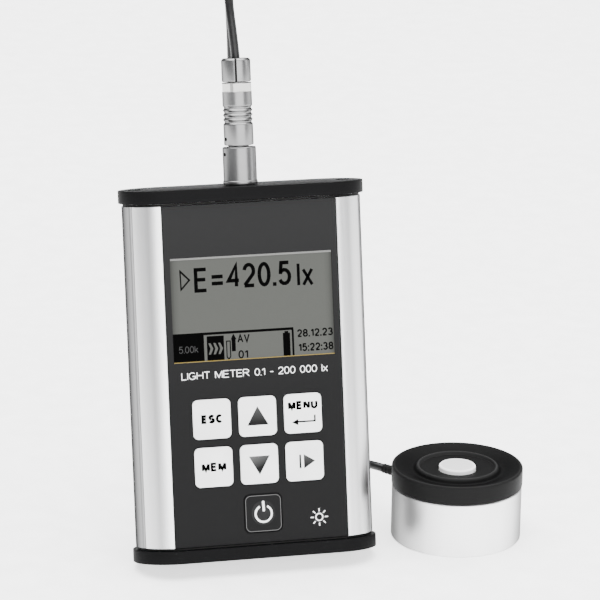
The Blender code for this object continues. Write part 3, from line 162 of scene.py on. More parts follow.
# ---------------------------------------------------------------- materials
class Look:
    """Builds a material's node tree around one Principled shader."""

    def __init__(self, name, color, roughness, metallic=0.0, **sockets):
        self.material = bpy.data.materials.new(name)
        self.material.use_nodes = True
        self.tree = self.material.node_tree
        self.shader = self.tree.nodes["Principled BSDF"]
        self.shader.inputs["Base Color"].default_value = (*color, 1.0)
        self.shader.inputs["Roughness"].default_value = roughness
        self.shader.inputs["Metallic"].default_value = metallic
        for socket, value in sockets.items():
            self.shader.inputs[socket.replace("_", " ")].default_value = value
        self.color = color
        self.roughness = roughness
        self.material.diffuse_color = (*color, 1.0)

    def node(self, kind, **inputs):
        node = self.tree.nodes.new(kind)
        for name, value in inputs.items():
            node.inputs[name.replace("_", " ")].default_value = value
        return node

    def link(self, start, end):
        self.tree.links.new(start, end)

    def noise(self, scale, stretch=(1.0, 1.0, 1.0), detail=3.0):
        """A noise value over the piece, with its pattern stretched along the given axes."""
        place = self.tree.nodes.new("ShaderNodeTexCoord")
        mapping = self.node("ShaderNodeMapping", Scale=stretch)
        self.link(place.outputs["Object"], mapping.inputs["Vector"])
        noise = self.node("ShaderNodeTexNoise", Scale=scale, Detail=detail)
        self.link(mapping.outputs["Vector"], noise.inputs["Vector"])
        return noise.outputs["Fac"]

    def ramp(self, value, stops):
        ramp = self.tree.nodes.new("ShaderNodeValToRGB")
        while len(ramp.color_ramp.elements) < len(stops):
            ramp.color_ramp.elements.new(0.5)
        for element, (position, color) in zip(ramp.color_ramp.elements, stops):
            element.position = position
            element.color = (*color, 1.0)
        self.link(value, ramp.inputs["Fac"])
        return ramp.outputs["Color"]

    def along(self, axis, kind="Object"):
        """The surface point's place along an axis."""
        place = self.tree.nodes.new("ShaderNodeTexCoord")
        split = self.tree.nodes.new("ShaderNodeSeparateXYZ")
        self.link(place.outputs[kind], split.inputs["Vector"])
        return split.outputs[axis]

    def aside(self):
        """The surface point's distance from the middle plane of its piece."""
        side = self.node("ShaderNodeMath")
        side.operation = "ABSOLUTE"
        self.link(self.along("X"), side.inputs[0])
        return side.outputs["Value"]

    def tone(self, value, low, high, stops):
        """Base colour by the stops as the value runs from low to high."""
        share = self.node("ShaderNodeMapRange", From_Min=low, From_Max=high)
        self.link(value, share.inputs["Value"])
        self.link(self.ramp(share.outputs["Result"], stops), self.shader.inputs["Base Color"])

    def vary_color(self, value, share):
        """Base colour between (1 - share) and (1 + share) of the look's colour."""
        stops = [(0.3, shaded(self.color, 1 - share)), (0.7, shaded(self.color, 1 + share))]
        self.link(self.ramp(value, stops), self.shader.inputs["Base Color"])

    def vary_roughness(self, value, share):
        low, high = self.roughness * (1 - share), self.roughness * (1 + share)
        node = self.node("ShaderNodeMapRange", To_Min=low, To_Max=high)
        self.link(value, node.inputs["Value"])
        self.link(node.outputs["Result"], self.shader.inputs["Roughness"])

    def bump(self, value, height, strength=1.0):
        bump = self.node("ShaderNodeBump", Strength=strength, Distance=height)
        self.link(value, bump.inputs["Height"])
        self.link(bump.outputs["Normal"], self.shader.inputs["Normal"])


def shaded(color, share):
    return tuple(min(1.0, channel * share) for channel in color)


def grey(tone):
    return (tone, tone, tone)


# Painted light and shade of the two extrusions across a half of the case, from near its middle to its side: lighter
# near the middle as a painted reflection, darker towards the rounded side as painted shade.
FRONT_PAINTED_LIGHT = [(0.0, 0.88), (0.25, 0.80), (0.38, 0.56), (0.50, 0.64), (0.76, 0.58), (0.80, 0.22), (0.92, 0.18),
               (1.0, 0.10)]
REAR_PAINTED_LIGHT = [(0.0, 0.40), (0.5, 0.34), (0.80, 0.24), (0.92, 0.18), (1.0, 0.10)]


def extruded_metal(name, painted_light, roughness):
    """Satin anodised extrusion: fine drawing lines along z, with painted light across it: lighter near its middle
    as a painted reflection, greyer towards its two rounded sides as painted shade.
    """
    look = Look(name, grey(painted_light[0][1]), roughness, 1.0, Specular_Tint=(0.10, 0.10, 0.10, 1.0))
    lines = look.noise(1.0, (9000.0, 9000.0, 40.0), 2.0)
    look.vary_roughness(lines, 0.22)
    stops = [(place, (tone, tone, tone * 1.006)) for place, tone in painted_light]
    # Painted reflection and shade: base colour by the distance from the case's middle plane.
    look.tone(look.aside(), 0.036, 0.050, stops)
    look.bump(lines, 0.000004, 0.5)
    return look.material


def turned_metal(name, color, roughness, metallic=1.0, painted_light=None):
    """Satin turned metal with faint rings; the optional stops paint its grey by the sideways distance in mm, as
    painted shade that greys its sides.
    """
    look = Look(name, color, roughness, metallic, Specular_Tint=(0.15, 0.15, 0.15, 1.0))
    rings = look.noise(1.0, (60.0, 60.0, 14000.0), 2.0)
    look.vary_roughness(rings, 0.18)
    if painted_light:
        reach = painted_light[-1][0]
        look.tone(look.aside(), 0.0, reach * MM, [(place / reach, grey(tone)) for place, tone in painted_light])
    else:
        look.vary_color(look.noise(150.0), 0.025)
    look.bump(rings, 0.000003, 0.4)
    return look.material


def moulded(name, color, roughness, grain=5200.0, depth=0.000012, **sockets):
    """Moulded plastic or rubber with a fine spark-eroded grain."""
    look = Look(name, color, roughness, **sockets)
    look.vary_color(look.noise(90.0), 0.06)
    look.vary_roughness(look.noise(400.0), 0.10)
    look.bump(look.noise(grain, detail=2.0), depth, 0.6)
    return look.material


# Painted light and shade of the cover by distance from its axis in millimetres: well, ring, valley, slope, rim,
# side. The edges of the ring and the rim are lighter as painted highlights, and the valley and slope, which face
# up, are darker as painted shade.
HEAD_COVER_PAINTED_LIGHT = [(8.0, 0.0035), (15.4, 0.0050), (15.8, 0.0200), (16.6, 0.0160), (17.4, 0.0016), (21.5, 0.0010),
                    (25.6, 0.0022), (26.4, 0.0110), (27.1, 0.0080)]
OPAL_RINGS = [(5.8, 0.62), (6.6, 0.70), (7.2, 0.95)]


def ringed(name, roughness, rings, level=0.03, grain=5200.0):
    """A turned plastic piece whose tone changes with the distance in mm from its axis."""
    look = Look(name, grey(rings[-1][1]), roughness, Specular_IOR_Level=level)
    place = look.node("ShaderNodeTexCoord")
    flat = look.node("ShaderNodeVectorMath")
    flat.operation = "MULTIPLY"
    flat.inputs[1].default_value = (1.0, 1.0, 0.0)
    look.link(place.outputs["Object"], flat.inputs[0])
    reach = look.node("ShaderNodeVectorMath")
    reach.operation = "LENGTH"
    look.link(flat.outputs["Vector"], reach.inputs[0])
    look.tone(reach.outputs["Value"], 0.0, 30 * MM, [(radius / 30, grey(tone)) for radius, tone in rings])
    look.vary_roughness(look.noise(400.0), 0.10)
    look.bump(look.noise(grain, detail=2.0), 0.000012, 0.6)
    return look.material


def panel_foil(name):
    """Printed front foil: dark grey with a fine matte texture, slightly lighter at the top."""
    look = Look(name, grey(0.010), 0.48, Specular_IOR_Level=0.06)
    stops = [(0.0, (0.0056, 0.0056, 0.0058)), (0.45, (0.0066, 0.0066, 0.0068)), (1.0, (0.0130, 0.0130, 0.0132))]
    look.tone(look.along("Z"), 0.0, 0.15, stops)
    look.vary_roughness(look.noise(300.0), 0.08)
    look.bump(look.noise(7000.0, detail=1.0), 0.000006, 0.5)
    return look.material


def display_grey(name):
    """Grey liquid crystal face, with painted shade that darkens it towards its two ends."""
    look = Look(name, (0.048, 0.0495, 0.045), 0.34, Specular_IOR_Level=0.08)
    stops = [(0.0, look.color), (0.5, shaded(look.color, 0.85)), (1.0, shaded(look.color, 0.45))]
    look.tone(look.aside(), 0.0300, 0.0336, stops)
    look.vary_roughness(look.noise(400.0), 0.10)
    look.bump(look.noise(900.0, detail=2.0), 0.000002, 0.6)
    return look.material


def graded(name, low, high, tilt=0.0):
    """A print whose grey runs from low at its bottom to high at its top."""
    look = Look(name, grey(high), 0.3, Specular_IOR_Level=0.10)
    mix = look.node("ShaderNodeMath")
    mix.operation = "MULTIPLY_ADD"
    mix.inputs[1].default_value = -tilt
    look.link(look.along("X", "Generated"), mix.inputs[0])
    look.link(look.along("Z", "Generated"), mix.inputs[2])
    look.tone(mix.outputs["Value"], 0.0, 1.0, [(0.15, grey(low)), (0.9, grey(high))])
    return look.material


def braided(name):
    """Black cable jacket with a mottled tone and fine noise bumps over it."""
    look = Look(name, (0.0055, 0.0055, 0.0058), 0.34, Specular_IOR_Level=0.25)
    look.vary_color(look.noise(500.0), 0.25)
    look.vary_roughness(look.noise(800.0), 0.2)
    look.bump(look.noise(2600.0, detail=1.0), 0.00004, 0.5)
    return look.material


ANODISED = extruded_metal("anodised_front", FRONT_PAINTED_LIGHT, 0.30)
ANODISED_REAR = extruded_metal("anodised_rear", REAR_PAINTED_LIGHT, 0.34)
# Painted shade of the sensor head's turned body by sideways distance in mm: lightest in its middle, greyer towards
# its sides.
HEAD_PAINTED_LIGHT = [(0.0, 0.92), (12.0, 0.90), (18.0, 0.74), (23.0, 0.50), (26.0, 0.36), (27.3, 0.22)]
HEAD_METAL = turned_metal("turned_aluminium", grey(0.84), 0.38, metallic=0.9, painted_light=HEAD_PAINTED_LIGHT)
SATIN_CHROME = turned_metal("satin_chrome", grey(0.21), 0.30)
# The wrench flats get a lighter metal as a painted highlight on their faces.
FLATS_HIGHLIGHT = turned_metal("painted_flats_highlight", (0.66, 0.66, 0.64), 0.30)
STEEL = turned_metal("screw_steel", (0.45, 0.45, 0.46), 0.35)
BRASS = turned_metal("turned_brass", (0.72, 0.52, 0.22), 0.30)
CAP_BLACK = moulded("cap_plastic", (0.0038, 0.0038, 0.0040), 0.52, Specular_IOR_Level=0.035)
# The cover's grey by radius holds painted highlights on its ring and rim and painted shade on its slopes.
COVER_BLACK = ringed("cover_plastic", 0.46, HEAD_COVER_PAINTED_LIGHT)
RUBBER = moulded("soft_rubber", grey(0.0060), 0.70, Specular_IOR_Level=0.10)
KEY_WHITE = moulded("key_white", grey(0.86), 0.40, 3000.0, 0.000004)
FOIL = panel_foil("front_foil")
# A dark fill put as painted shadow in gaps and slots that stand in shade.
PAINTED_SHADOW = moulded("foil_shadow", grey(0.0040), 0.5, Specular_IOR_Level=0.10)
OPAL = ringed("opal_diffuser", 0.55, OPAL_RINGS, 0.3, 2500.0)
LCD = display_grey("display_grey")
PRINT_BLACK = moulded("print_black", grey(0.0006), 0.6, Specular_IOR_Level=0.01)
PRINT_WHITE = moulded("print_white", grey(0.85), 0.5)
PRINT_GREY = moulded("print_grey", grey(0.085), 0.5, Specular_IOR_Level=0.15)
PRINT_DIM = moulded("print_dim", grey(0.028), 0.6, Specular_IOR_Level=0.05)
PRINT_UP = graded("print_up", 0.0012, 0.035)
PRINT_DOWN = graded("print_down", 0.0012, 0.070, 0.45)
# Thin strips along the display window's edges: a painted highlight above and a warm painted reflection below.
WINDOW_HIGHLIGHT = moulded("window_highlight_paint", (0.13, 0.13, 0.125), 0.25, Specular_IOR_Level=0.2)
WINDOW_REFLECTION = moulded("window_reflection_paint", (0.17, 0.12, 0.025), 0.25, Specular_IOR_Level=0.2)
DOME_GLOSS = moulded("dome_gloss", (0.0060, 0.0060, 0.0062), 0.30, 900.0, 0.000003, Specular_IOR_Level=0.12)
CABLE = braided("cable_jacket")
BOARD = moulded("circuit_board", (0.008, 0.045, 0.020), 0.45, 800.0, 0.00002)
CELL = moulded("cell_sleeve", (0.030, 0.034, 0.045), 0.3)
FILTER = moulded("filter_glass", (0.22, 0.40, 0.18), 0.12)
PALE_FLOOR = moulded("pale_floor", grey(0.93), 0.9, 40.0, 0.0002, Emission_Color=(1.0, 1.0, 1.0, 1.0),
                     Emission_Strength=1.5)


# ---------------------------------------------------------------- mesh tools
def linked(name, data):
    """A new object in the scene."""
    obj = bpy.data.objects.new(name, data)
    bpy.context.scene.collection.objects.link(obj)
    return obj


def mesh_of(bm, name):
    """The finished mesh of an edited one."""
    mesh = bpy.data.meshes.new(name)
    bm.to_mesh(mesh)
    bm.free()
    return mesh


def evaluated(obj):
    """The mesh of an object with its modifiers or its curve's thickness."""
    graph = bpy.context.evaluated_depsgraph_get()
    return bpy.data.meshes.new_from_object(obj.evaluated_get(graph))


def piece(name, bm, look, body, place=None, replaces=()):
    """A finished mesh object that rides on a body: smooth, with its creases kept sharp."""
    bmesh.ops.remove_doubles(bm, verts=bm.verts, dist=0.000001)
    bmesh.ops.recalc_face_normals(bm, faces=bm.faces)
    mesh = mesh_of(bm, name)
    obj = linked(name, mesh)
    if place is not None:
        obj.matrix_world = place
    mesh.materials.append(look)
    crease(mesh)
    if body:
        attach(obj, body)
    for node in replaces:
        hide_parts(node)
    return obj


def crease(mesh):
    """Smooth shading, broken where two faces meet at more than the crease angle."""
    bm = bmesh.new()
    bm.from_mesh(mesh)
    for face in bm.faces:
        face.smooth = True
    for edge in bm.edges:
        edge.smooth = not (len(edge.link_faces) == 2 and edge.calc_face_angle(0.0) > SHARP)
    bm.to_mesh(mesh)
    bm.free()


def apply_modifiers(obj):
    """Replaces the object's mesh by its evaluated one."""
    mesh = evaluated(obj)
    obj.modifiers.clear()
    obj.data = mesh
    crease(mesh)


def bridge(bm, first, second):
    """Faces between two closed rows of vertices."""
    for step in range(len(first)):
        after = (step + 1) % len(first)
        bm.faces.new((first[step], first[after], second[after], second[step]))


def lathe(profile, sides, closed=False):
    """A mesh turned about z from (radius, z) points. An open profile starts and ends on the axis."""
    bm = bmesh.new()
    rings = []
    for radius, z in profile:
        if radius < 1e-7:
            rings.append([bm.verts.new((0.0, 0.0, z))])
            continue
        turns = [2 * pi * step / sides for step in range(sides)]
        rings.append([bm.verts.new((radius * cos(turn), radius * sin(turn), z)) for turn in turns])
    pairs = list(zip(rings, rings[1:]))
    if closed:
        pairs.append((rings[-1], rings[0]))
    for first, second in pairs:
        if len(first) == len(second):
            bridge(bm, first, second)
            continue
        for step in range(sides):
            after = (step + 1) % sides
            if len(first) == 1:
                bm.faces.new((first[0], second[step], second[after]))
            else:
                bm.faces.new((first[step], first[after], second[0]))
    return bm


def drum(radius, low, high, sides):
    """A solid cylinder about z."""
    return lathe([(0.0, low), (radius, low), (radius, high), (0.0, high)], sides)


def turned(bm, degrees, axis="X"):
    """The mesh turned about an axis through the origin."""
    matrix = Matrix.Rotation(radians(degrees), 3, axis)
    bmesh.ops.rotate(bm, cent=(0, 0, 0), matrix=matrix, verts=bm.verts)
    return bm


def rounded(profile, radius, steps=3, closed=False):
    """The profile with its corners rounded, each by the radius or as much as its sides allow."""
    points = [Vector(point) for point in profile]
    result = []
    for number, point in enumerate(points):
        if number in (0, len(points) - 1) and not closed:
            result.append(tuple(point))
            continue
        before = points[number - 1] - point
        after = points[(number + 1) % len(points)] - point
        cut = min(radius, before.length * 0.45, after.length * 0.45)
        start, stop = point + before.normalized() * cut, point + after.normalized() * cut
        for step in range(steps + 1):
            share = step / steps
            result.append(tuple(start.lerp(point, share).lerp(point.lerp(stop, share), share)))
    return result


def slab(outline, low, high, plane="XZ"):
    """A flat plate of the outline: in x and z with its thickness along y, or in x and y along z."""
    bm = bmesh.new()

    def corner(point, level):
        first, second = point
        return (first, level, second) if plane == "XZ" else (first, second, level)

    under = [bm.verts.new(corner(point, low)) for point in outline]
    over = [bm.verts.new(corner(point, high)) for point in outline]
    bm.faces.new(under)
    bm.faces.new(list(reversed(over)))
    bridge(bm, over, under)
    return bm


def rounded_box(width, height, radius, steps=8, centre=(0.0, 0.0)):
    """Outline of a rectangle with round corners."""
    points = []
    half = (width / 2 - radius, height / 2 - radius)
    for quarter, (side_x, side_z) in enumerate(((1, 1), (-1, 1), (-1, -1), (1, -1))):
        for step in range(steps + 1):
            angle = pi / 2 * (quarter + step / steps)
            x = centre[0] + side_x * half[0] + radius * cos(angle)
            points.append((x, centre[1] + side_z * half[1] + radius * sin(angle)))
    return points


def shift(bm, x, y, z):
    bmesh.ops.translate(bm, vec=(x, y, z), verts=bm.verts)
    return bm


def bevelled(obj, width, segments=3, angle=35):
    modifier = obj.modifiers.new("edges", "BEVEL")
    modifier.width = width
    modifier.segments = segments
    modifier.limit_method = "ANGLE"
    modifier.angle_limit = radians(angle)
    modifier.use_clamp_overlap = False
    apply_modifiers(obj)
    return obj


def combine(obj, bm, operation):
    """Joins a closed mesh to the object, or takes it away, by an exact Boolean."""
    bmesh.ops.recalc_face_normals(bm, faces=bm.faces)
    tool = linked("tool", mesh_of(bm, "tool"))
    tool.matrix_world = obj.matrix_world
    modifier = obj.modifiers.new("tool", "BOOLEAN")
    modifier.operation = operation
    modifier.solver = "EXACT"
    modifier.object = tool
    apply_modifiers(obj)
    bpy.data.objects.remove(tool, do_unlink=True)


def cut_out(obj, meshes):
    for bm in meshes:
        combine(obj, bm, "DIFFERENCE")


def cut_quarters(obj, near, far, half, low, high, first):
    """Cuts four blocks from the object's side, a quarter turn apart."""
    outline = [(near, -half), (far, -half), (far, half), (near, half)]
    cut_out(obj, [turned(slab(outline, low, high, "XY"), first + 90 * quarter, "Z") for quarter in range(4)])


def paint(obj, look, chosen):
    """Gives a second look to the faces that are chosen by their centre and normal."""
    obj.data.materials.append(look)
    for face in obj.data.polygons:
        if chosen(face.center, face.normal):
            face.material_index = 1


# ---------------------------------------------------------------- sizes of the housing
BODY_HIGH = meter_box("rear_shell")[1]
CAP_LOW, CAP_HIGH = meter_box("bottom_end_cap")
TOP_LOW, TOP_HIGH = meter_box("top_end_cap")
FOIL_LOW, FOIL_HIGH = meter_box("keypad_foil")
WINDOW_LOW, WINDOW_HIGH = meter_box("display_window")
SHELL_LOW, SHELL_HIGH = meter_box("front_shell")
BODY_HALF = BODY_HIGH.x
BODY_BACK = BODY_HIGH.y
END_LENGTH = 16.7 * MM
FACE = FOIL_LOW.y
CHANNEL_HALF = FOIL_HIGH.x + GAP
CHANNEL_FLOOR = FACE + 0.9 * MM
SEAM = -6.8 * MM
SEAM_WIDTH = 0.9 * MM
SEAM_CHAMFER = 0.35 * MM
FRONT_WALL = 2.6 * MM
REAR_WALL = 2.0 * MM
ARC_STEPS = 40
PRINT = 0.03 * MM
DISPLAY_FACE = WINDOW_LOW.y + 0.25 * MM


def side_arc(inset, start, end, steps):
    """Points on the right side of the housing's oval, inset from it, from start to end as y."""
    along, across = END_LENGTH - inset, BODY_BACK - inset
    first = asin(max(-1.0, min(1.0, start / across)))
    last = asin(max(-1.0, min(1.0, end / across)))
    centre = BODY_HALF - END_LENGTH
    turns = [first + (last - first) * step / steps for step in range(steps + 1)]
    return [(centre + along * cos(turn), across * sin(turn)) for turn in turns]


def both_sides(right, inside):
    """A closed outline of a shell from its right half: the outer points, then the inner points."""
    outline = right + [(-x, y) for x, y in reversed(right)]
    return outline + [(-x, y) for x, y in reversed(inside)] + inside


def make_case():
    """The two extrusions, with the channel for the foil and the groove between them."""
    lip = SEAM - SEAM_WIDTH / 2
    inset_lip = side_arc(SEAM_CHAMFER, lip, lip, 1)[:1]
    right = inset_lip + side_arc(0.0, lip - SEAM_CHAMFER, FACE, ARC_STEPS)
    edge = right[-1]
    right[-1] = (edge[0] + 0.12 * MM, edge[1])
    right += [(CHANNEL_HALF, FACE + 0.12 * MM), (CHANNEL_HALF, CHANNEL_FLOOR)]
    inside = side_arc(FRONT_WALL, FRONT_WALL - BODY_BACK, SEAM + 2.0 * MM, ARC_STEPS)
    inside += side_arc(1.2 * MM, SEAM + 2.0 * MM, lip, 4)
    shell = piece("front_extrusion", slab(both_sides(right, inside), SHELL_LOW.z, SHELL_HIGH.z, "XY"),
                  ANODISED, "housing", METER, ["front_shell"])
    ledge = 1.4 * MM
    width = WINDOW_HIGH.x - WINDOW_LOW.x - 2 * ledge
    height = WINDOW_HIGH.z - WINDOW_LOW.z - 2 * ledge
    middle = (0.0, (WINDOW_LOW.z + WINDOW_HIGH.z) / 2)
    cuts = [slab(rounded_box(width, height, 0.8 * MM, 4, middle), -BODY_BACK, 0.0)]
    for x, z, _, _ in KEYS.values():
        cuts.append(shift(turned(drum(4.4 * MM, -10 * MM, 10 * MM, 32), 90), x, FACE, z))
    cut_out(shell, cuts)

    def in_channel(centre, normal):
        return abs(centre.y - CHANNEL_FLOOR) < 0.1 * MM and normal.y < -0.9 and abs(centre.x) < CHANNEL_HALF

    # Painted shadow: the channel floor behind the foil, seen through the gaps round the window and keys, is made
    # dark.
    paint(shell, PAINTED_SHADOW, in_channel)

    lip = SEAM + SEAM_WIDTH / 2
    right = side_arc(SEAM_CHAMFER, lip, lip, 1)[:1]
    right += side_arc(0.0, lip + SEAM_CHAMFER, BODY_BACK, ARC_STEPS)
    inside = side_arc(REAR_WALL, BODY_BACK - REAR_WALL, SEAM + 2.4 * MM, ARC_STEPS)
    inside += side_arc(0.9 * MM, SEAM + 2.4 * MM, lip, 4)
    piece("rear_extrusion", slab(both_sides(right, inside), SHELL_LOW.z, SHELL_HIGH.z, "XY"),
          ANODISED_REAR, "housing", METER, ["rear_shell"])


# ---------------------------------------------------------------- end caps and their screws
def oval(grow):
    right = side_arc(-grow, -BODY_BACK - grow, BODY_BACK + grow, 2 * ARC_STEPS)
    return right + [(-x, y) for x, y in reversed(right)]


def make_caps():
    """Two moulded caps with rounded edges that stand proud of the case all round."""
    grow = CAP_HIGH.x - BODY_HALF
    for name, low, high, side in (("bottom", CAP_LOW, CAP_HIGH, -1), ("top", TOP_LOW, TOP_HIGH, 1)):
        cap = piece(name + "_cap", slab(oval(grow), low.z, high.z, "XY"), CAP_BLACK, "housing",
                    METER, [name + "_end_cap"])
        bevelled(cap, 0.3 * MM, 4)
        face = high.z if side > 0 else low.z
        cuts = []
        for hand in ("left", "right"):
            start, end = meter_box("%s_cap_screw_%s" % (name, hand))
            radius = (end.x - start.x) / 2
            depth = 2.4 * MM
            seat = drum(radius + GAP, face - side * depth, face + side * MM, 48)
            centre = (start + end) / 2
            cuts.append(shift(seat, centre.x, centre.y, 0.0))
            make_cap_screw(name, hand, centre, radius, face, side)
        if side > 0:
            cuts.append(drum(5.3 * MM, low.z - MM, high.z + MM, 48))
        cut_out(cap, cuts)


def make_cap_screw(name, hand, centre, radius, face, side):
    """A pan head with a hexagon socket."""
    top = face - side * 0.4 * MM
    under = top - side * 1.7 * MM
    tip = face - side * 14.0 * MM
    shank = 1.4 * MM
    profile = [(0.0, top), (radius, top), (radius * 0.94, under), (shank, under), (shank, tip), (0.0, tip)]
    bm = shift(lathe(rounded(profile, 0.5 * MM, 4), 48), centre.x, centre.y, 0.0)
    screw = piece("%s_screw_%s" % (name, hand), bm, STEEL, "housing", METER,
                  ["%s_cap_screw_%s" % (name, hand)])
    socket = drum(1.45 * MM, top - MM, top + MM, 6)
    cut_out(screw, [shift(socket, centre.x, centre.y, 0.0)])


# ---------------------------------------------------------------- front foil, display and keys
KEY_NAMES = ("esc", "up", "menu", "mem", "down", "run", "power")
KEY_CORNER = 2.2 * MM
KEYS = {}
for key_name in KEY_NAMES:
    key_low, key_high = meter_box("key_" + key_name)
    KEYS[key_name] = ((key_low.x + key_high.x) / 2, (key_low.z + key_high.z) / 2,
                      key_high.x - key_low.x, key_high.z - key_low.z)
KEY_FACE = meter_box("key_esc")[0].y


def make_foil():
    width, height = FOIL_HIGH.x - FOIL_LOW.x, SHELL_HIGH.z - SHELL_LOW.z
    middle = (0.0, (SHELL_LOW.z + SHELL_HIGH.z) / 2)
    foil = piece("front_foil", slab(rounded_box(width, height, 0.4 * MM, 4, middle), FACE, FOIL_HIGH.y),
                 FOIL, "housing", METER, ["keypad_foil"])
    cuts = []
    for x, z, key_width, key_height in KEYS.values():
        grow = 0.8 * MM
        outline = rounded_box(key_width + grow, key_height + grow, KEY_CORNER + grow / 2, 10, (x, z))
        cuts.append(slab(outline, FACE - MM, FOIL_HIGH.y + MM))
    low, high = WINDOW_LOW, WINDOW_HIGH
    fit = 0.1 * MM
    outline = rounded_box(high.x - low.x + fit, high.z - low.z + fit, 0.1 * MM, 2,
                          (0.0, (low.z + high.z) / 2))
    cuts.append(slab(outline, FACE - MM, FOIL_HIGH.y + MM))
    cut_out(foil, cuts)


def print_on(name, outlines, look, level=None, body="housing"):
    """A print: flat outlines with their holes, as a film just proud of a surface that faces the front."""
    level = FACE if level is None else level
    curve = bpy.data.curves.new(name, "CURVE")
    curve.dimensions = "2D"
    curve.fill_mode = "BOTH"
    curve.extrude = PRINT
    for outline in outlines:
        spline = curve.splines.new("POLY")
        spline.points.add(len(outline) - 1)
        spline.use_cyclic_u = True
        for point, (x, z) in zip(spline.points, outline):
            point.co = (x, z, 0.0, 1.0)
    return printed(name, curve, look, level, body)


def printed(name, curve, look, level, body):
    flat = linked(name, curve)
    mesh = evaluated(flat)
    bpy.data.objects.remove(flat, do_unlink=True)
    bm = bmesh.new()
    bm.from_mesh(mesh)
    return piece(name, shift(turned(bm, 90), 0.0, level, 0.0), look, body, METER)


def bow(x, z, across, up, start, end, steps=12):
    """Points on an ellipse between two angles in degrees."""
    turns = [radians(start + (end - start) * step / steps) for step in range(steps + 1)]
    return [(x + across * cos(turn), z + up * sin(turn)) for turn in turns]


# Plain block letters: each one's width for a height of 1, and its strokes in a unit square. A stroke of
# one point is a dot.
GLYPHS = {
    " ": (0.3, []),
    ".": (0.0, [[(0.5, 0)]]),
    ":": (0.0, [[(0.5, 0)], [(0.5, 0.62)]]),
    "-": (0.34, [[(0, 0.42), (1, 0.42)]]),
    "=": (0.56, [[(0, 0.3), (1, 0.3)], [(0, 0.62), (1, 0.62)]]),
    "0": (0.5, [bow(0.5, 0.5, 0.5, 0.5, 0, 180), bow(0.5, 0.5, 0.5, 0.5, 180, 360)]),
    "1": (0.26, [[(0, 0.76), (1, 0.98)], [(1, 1), (1, 0)]]),
    "2": (0.5, [bow(0.5, 0.7, 0.48, 0.3, 170, -35) + [(0.04, 0.03)], [(0, 0), (1, 0)]]),
    "3": (0.5, [bow(0.46, 0.75, 0.46, 0.25, 155, -90), bow(0.48, 0.25, 0.52, 0.25, 90, -155)]),
    "4": (0.54, [[(0.76, 0), (0.76, 1), (0, 0.28), (1, 0.28)]]),
    "5": (0.5, [[(0.94, 1), (0.16, 1), (0.06, 0.46)], bow(0.47, 0.33, 0.53, 0.33, 145, -155)]),
    "8": (0.5, [bow(0.5, 0.76, 0.44, 0.24, -90, 90), bow(0.5, 0.76, 0.44, 0.24, 90, 270),
                 bow(0.5, 0.26, 0.5, 0.26, -90, 90), bow(0.5, 0.26, 0.5, 0.26, 90, 270)]),
    "A": (0.66, [[(0, 0), (0.5, 1), (1, 0)], [(0.2, 0.33), (0.8, 0.33)]]),
    "C": (0.64, [bow(0.52, 0.5, 0.52, 0.5, 45, 315, 20)]),
    "E": (0.52, [[(1, 1), (0, 1), (0, 0), (1, 0)], [(0, 0.52), (0.92, 0.52)]]),
    "G": (0.68, [bow(0.5, 0.5, 0.5, 0.5, 45, 345, 20), [(0.55, 0.44), (1, 0.44), (1, 0.12)]]),
    "H": (0.6, [[(0, 0), (0, 1)], [(1, 0), (1, 1)], [(0, 0.52), (1, 0.52)]]),
    "I": (0.0, [[(0.5, 0), (0.5, 1)]]),
    "L": (0.46, [[(0, 1), (0, 0), (1, 0)]]),
    "M": (0.7, [[(0, 0), (0, 1)], [(0.03, 1), (0.5, 0.06), (0.97, 1)], [(1, 1), (1, 0)]]),
    "N": (0.6, [[(0, 0), (0, 1)], [(0.03, 1), (0.97, 0)], [(1, 0), (1, 1)]]),
    "R": (0.58, [[(0, 0), (0, 1)], [(0, 1)] + bow(0.6, 0.76, 0.36, 0.24, 90, -90) + [(0, 0.52)],
                 [(0.5, 0.52), (1, 0)]]),
    "S": (0.58, [bow(0.5, 0.75, 0.46, 0.25, 25, 265), bow(0.5, 0.25, 0.5, 0.25, 90, -158)]),
    "T": (0.56, [[(0, 1), (1, 1)], [(0.5, 1), (0.5, 0)]]),
    "U": (0.58, [[(0, 1)] + bow(0.5, 0.34, 0.5, 0.34, 180, 360) + [(1, 1)]]),
    "V": (0.64, [[(0, 1), (0.5, 0), (1, 1)]]),
    "k": (0.44, [[(0, 0), (0, 1)], [(0.9, 0.68), (0, 0.26)], [(0.35, 0.42), (1, 0)]]),
    "l": (0.0, [[(0.5, 0), (0.5, 1)]]),
    "x": (0.44, [[(0, 0), (1, 0.72)], [(0, 0.72), (1, 0)]]),
}
LETTER_SPACE = 0.085


def ribbon(points, thickness):
    """The outline of a stroke of even thickness along the points, mitred where it turns."""
    half = thickness / 2
    if len(points) == 1:
        x, z = points[0]
        return [(x - half, z - half), (x + half, z - half), (x + half, z + half), (x - half, z + half)]
    line = [Vector(point) for point in points]
    ways = [(b - a).normalized() for a, b in zip(line, line[1:])]
    left, right = [], []
    for number, point in enumerate(line):
        before, after = ways[max(0, number - 1)], ways[min(number, len(ways) - 1)]
        middle = before + after
        across = Vector((-middle.y, middle.x)).normalized()
        reach = half / max(0.42, across.dot(Vector((-before.y, before.x))))
        left.append(tuple(point + across * reach))
        right.append(tuple(point - across * reach))
    return left + right[::-1]


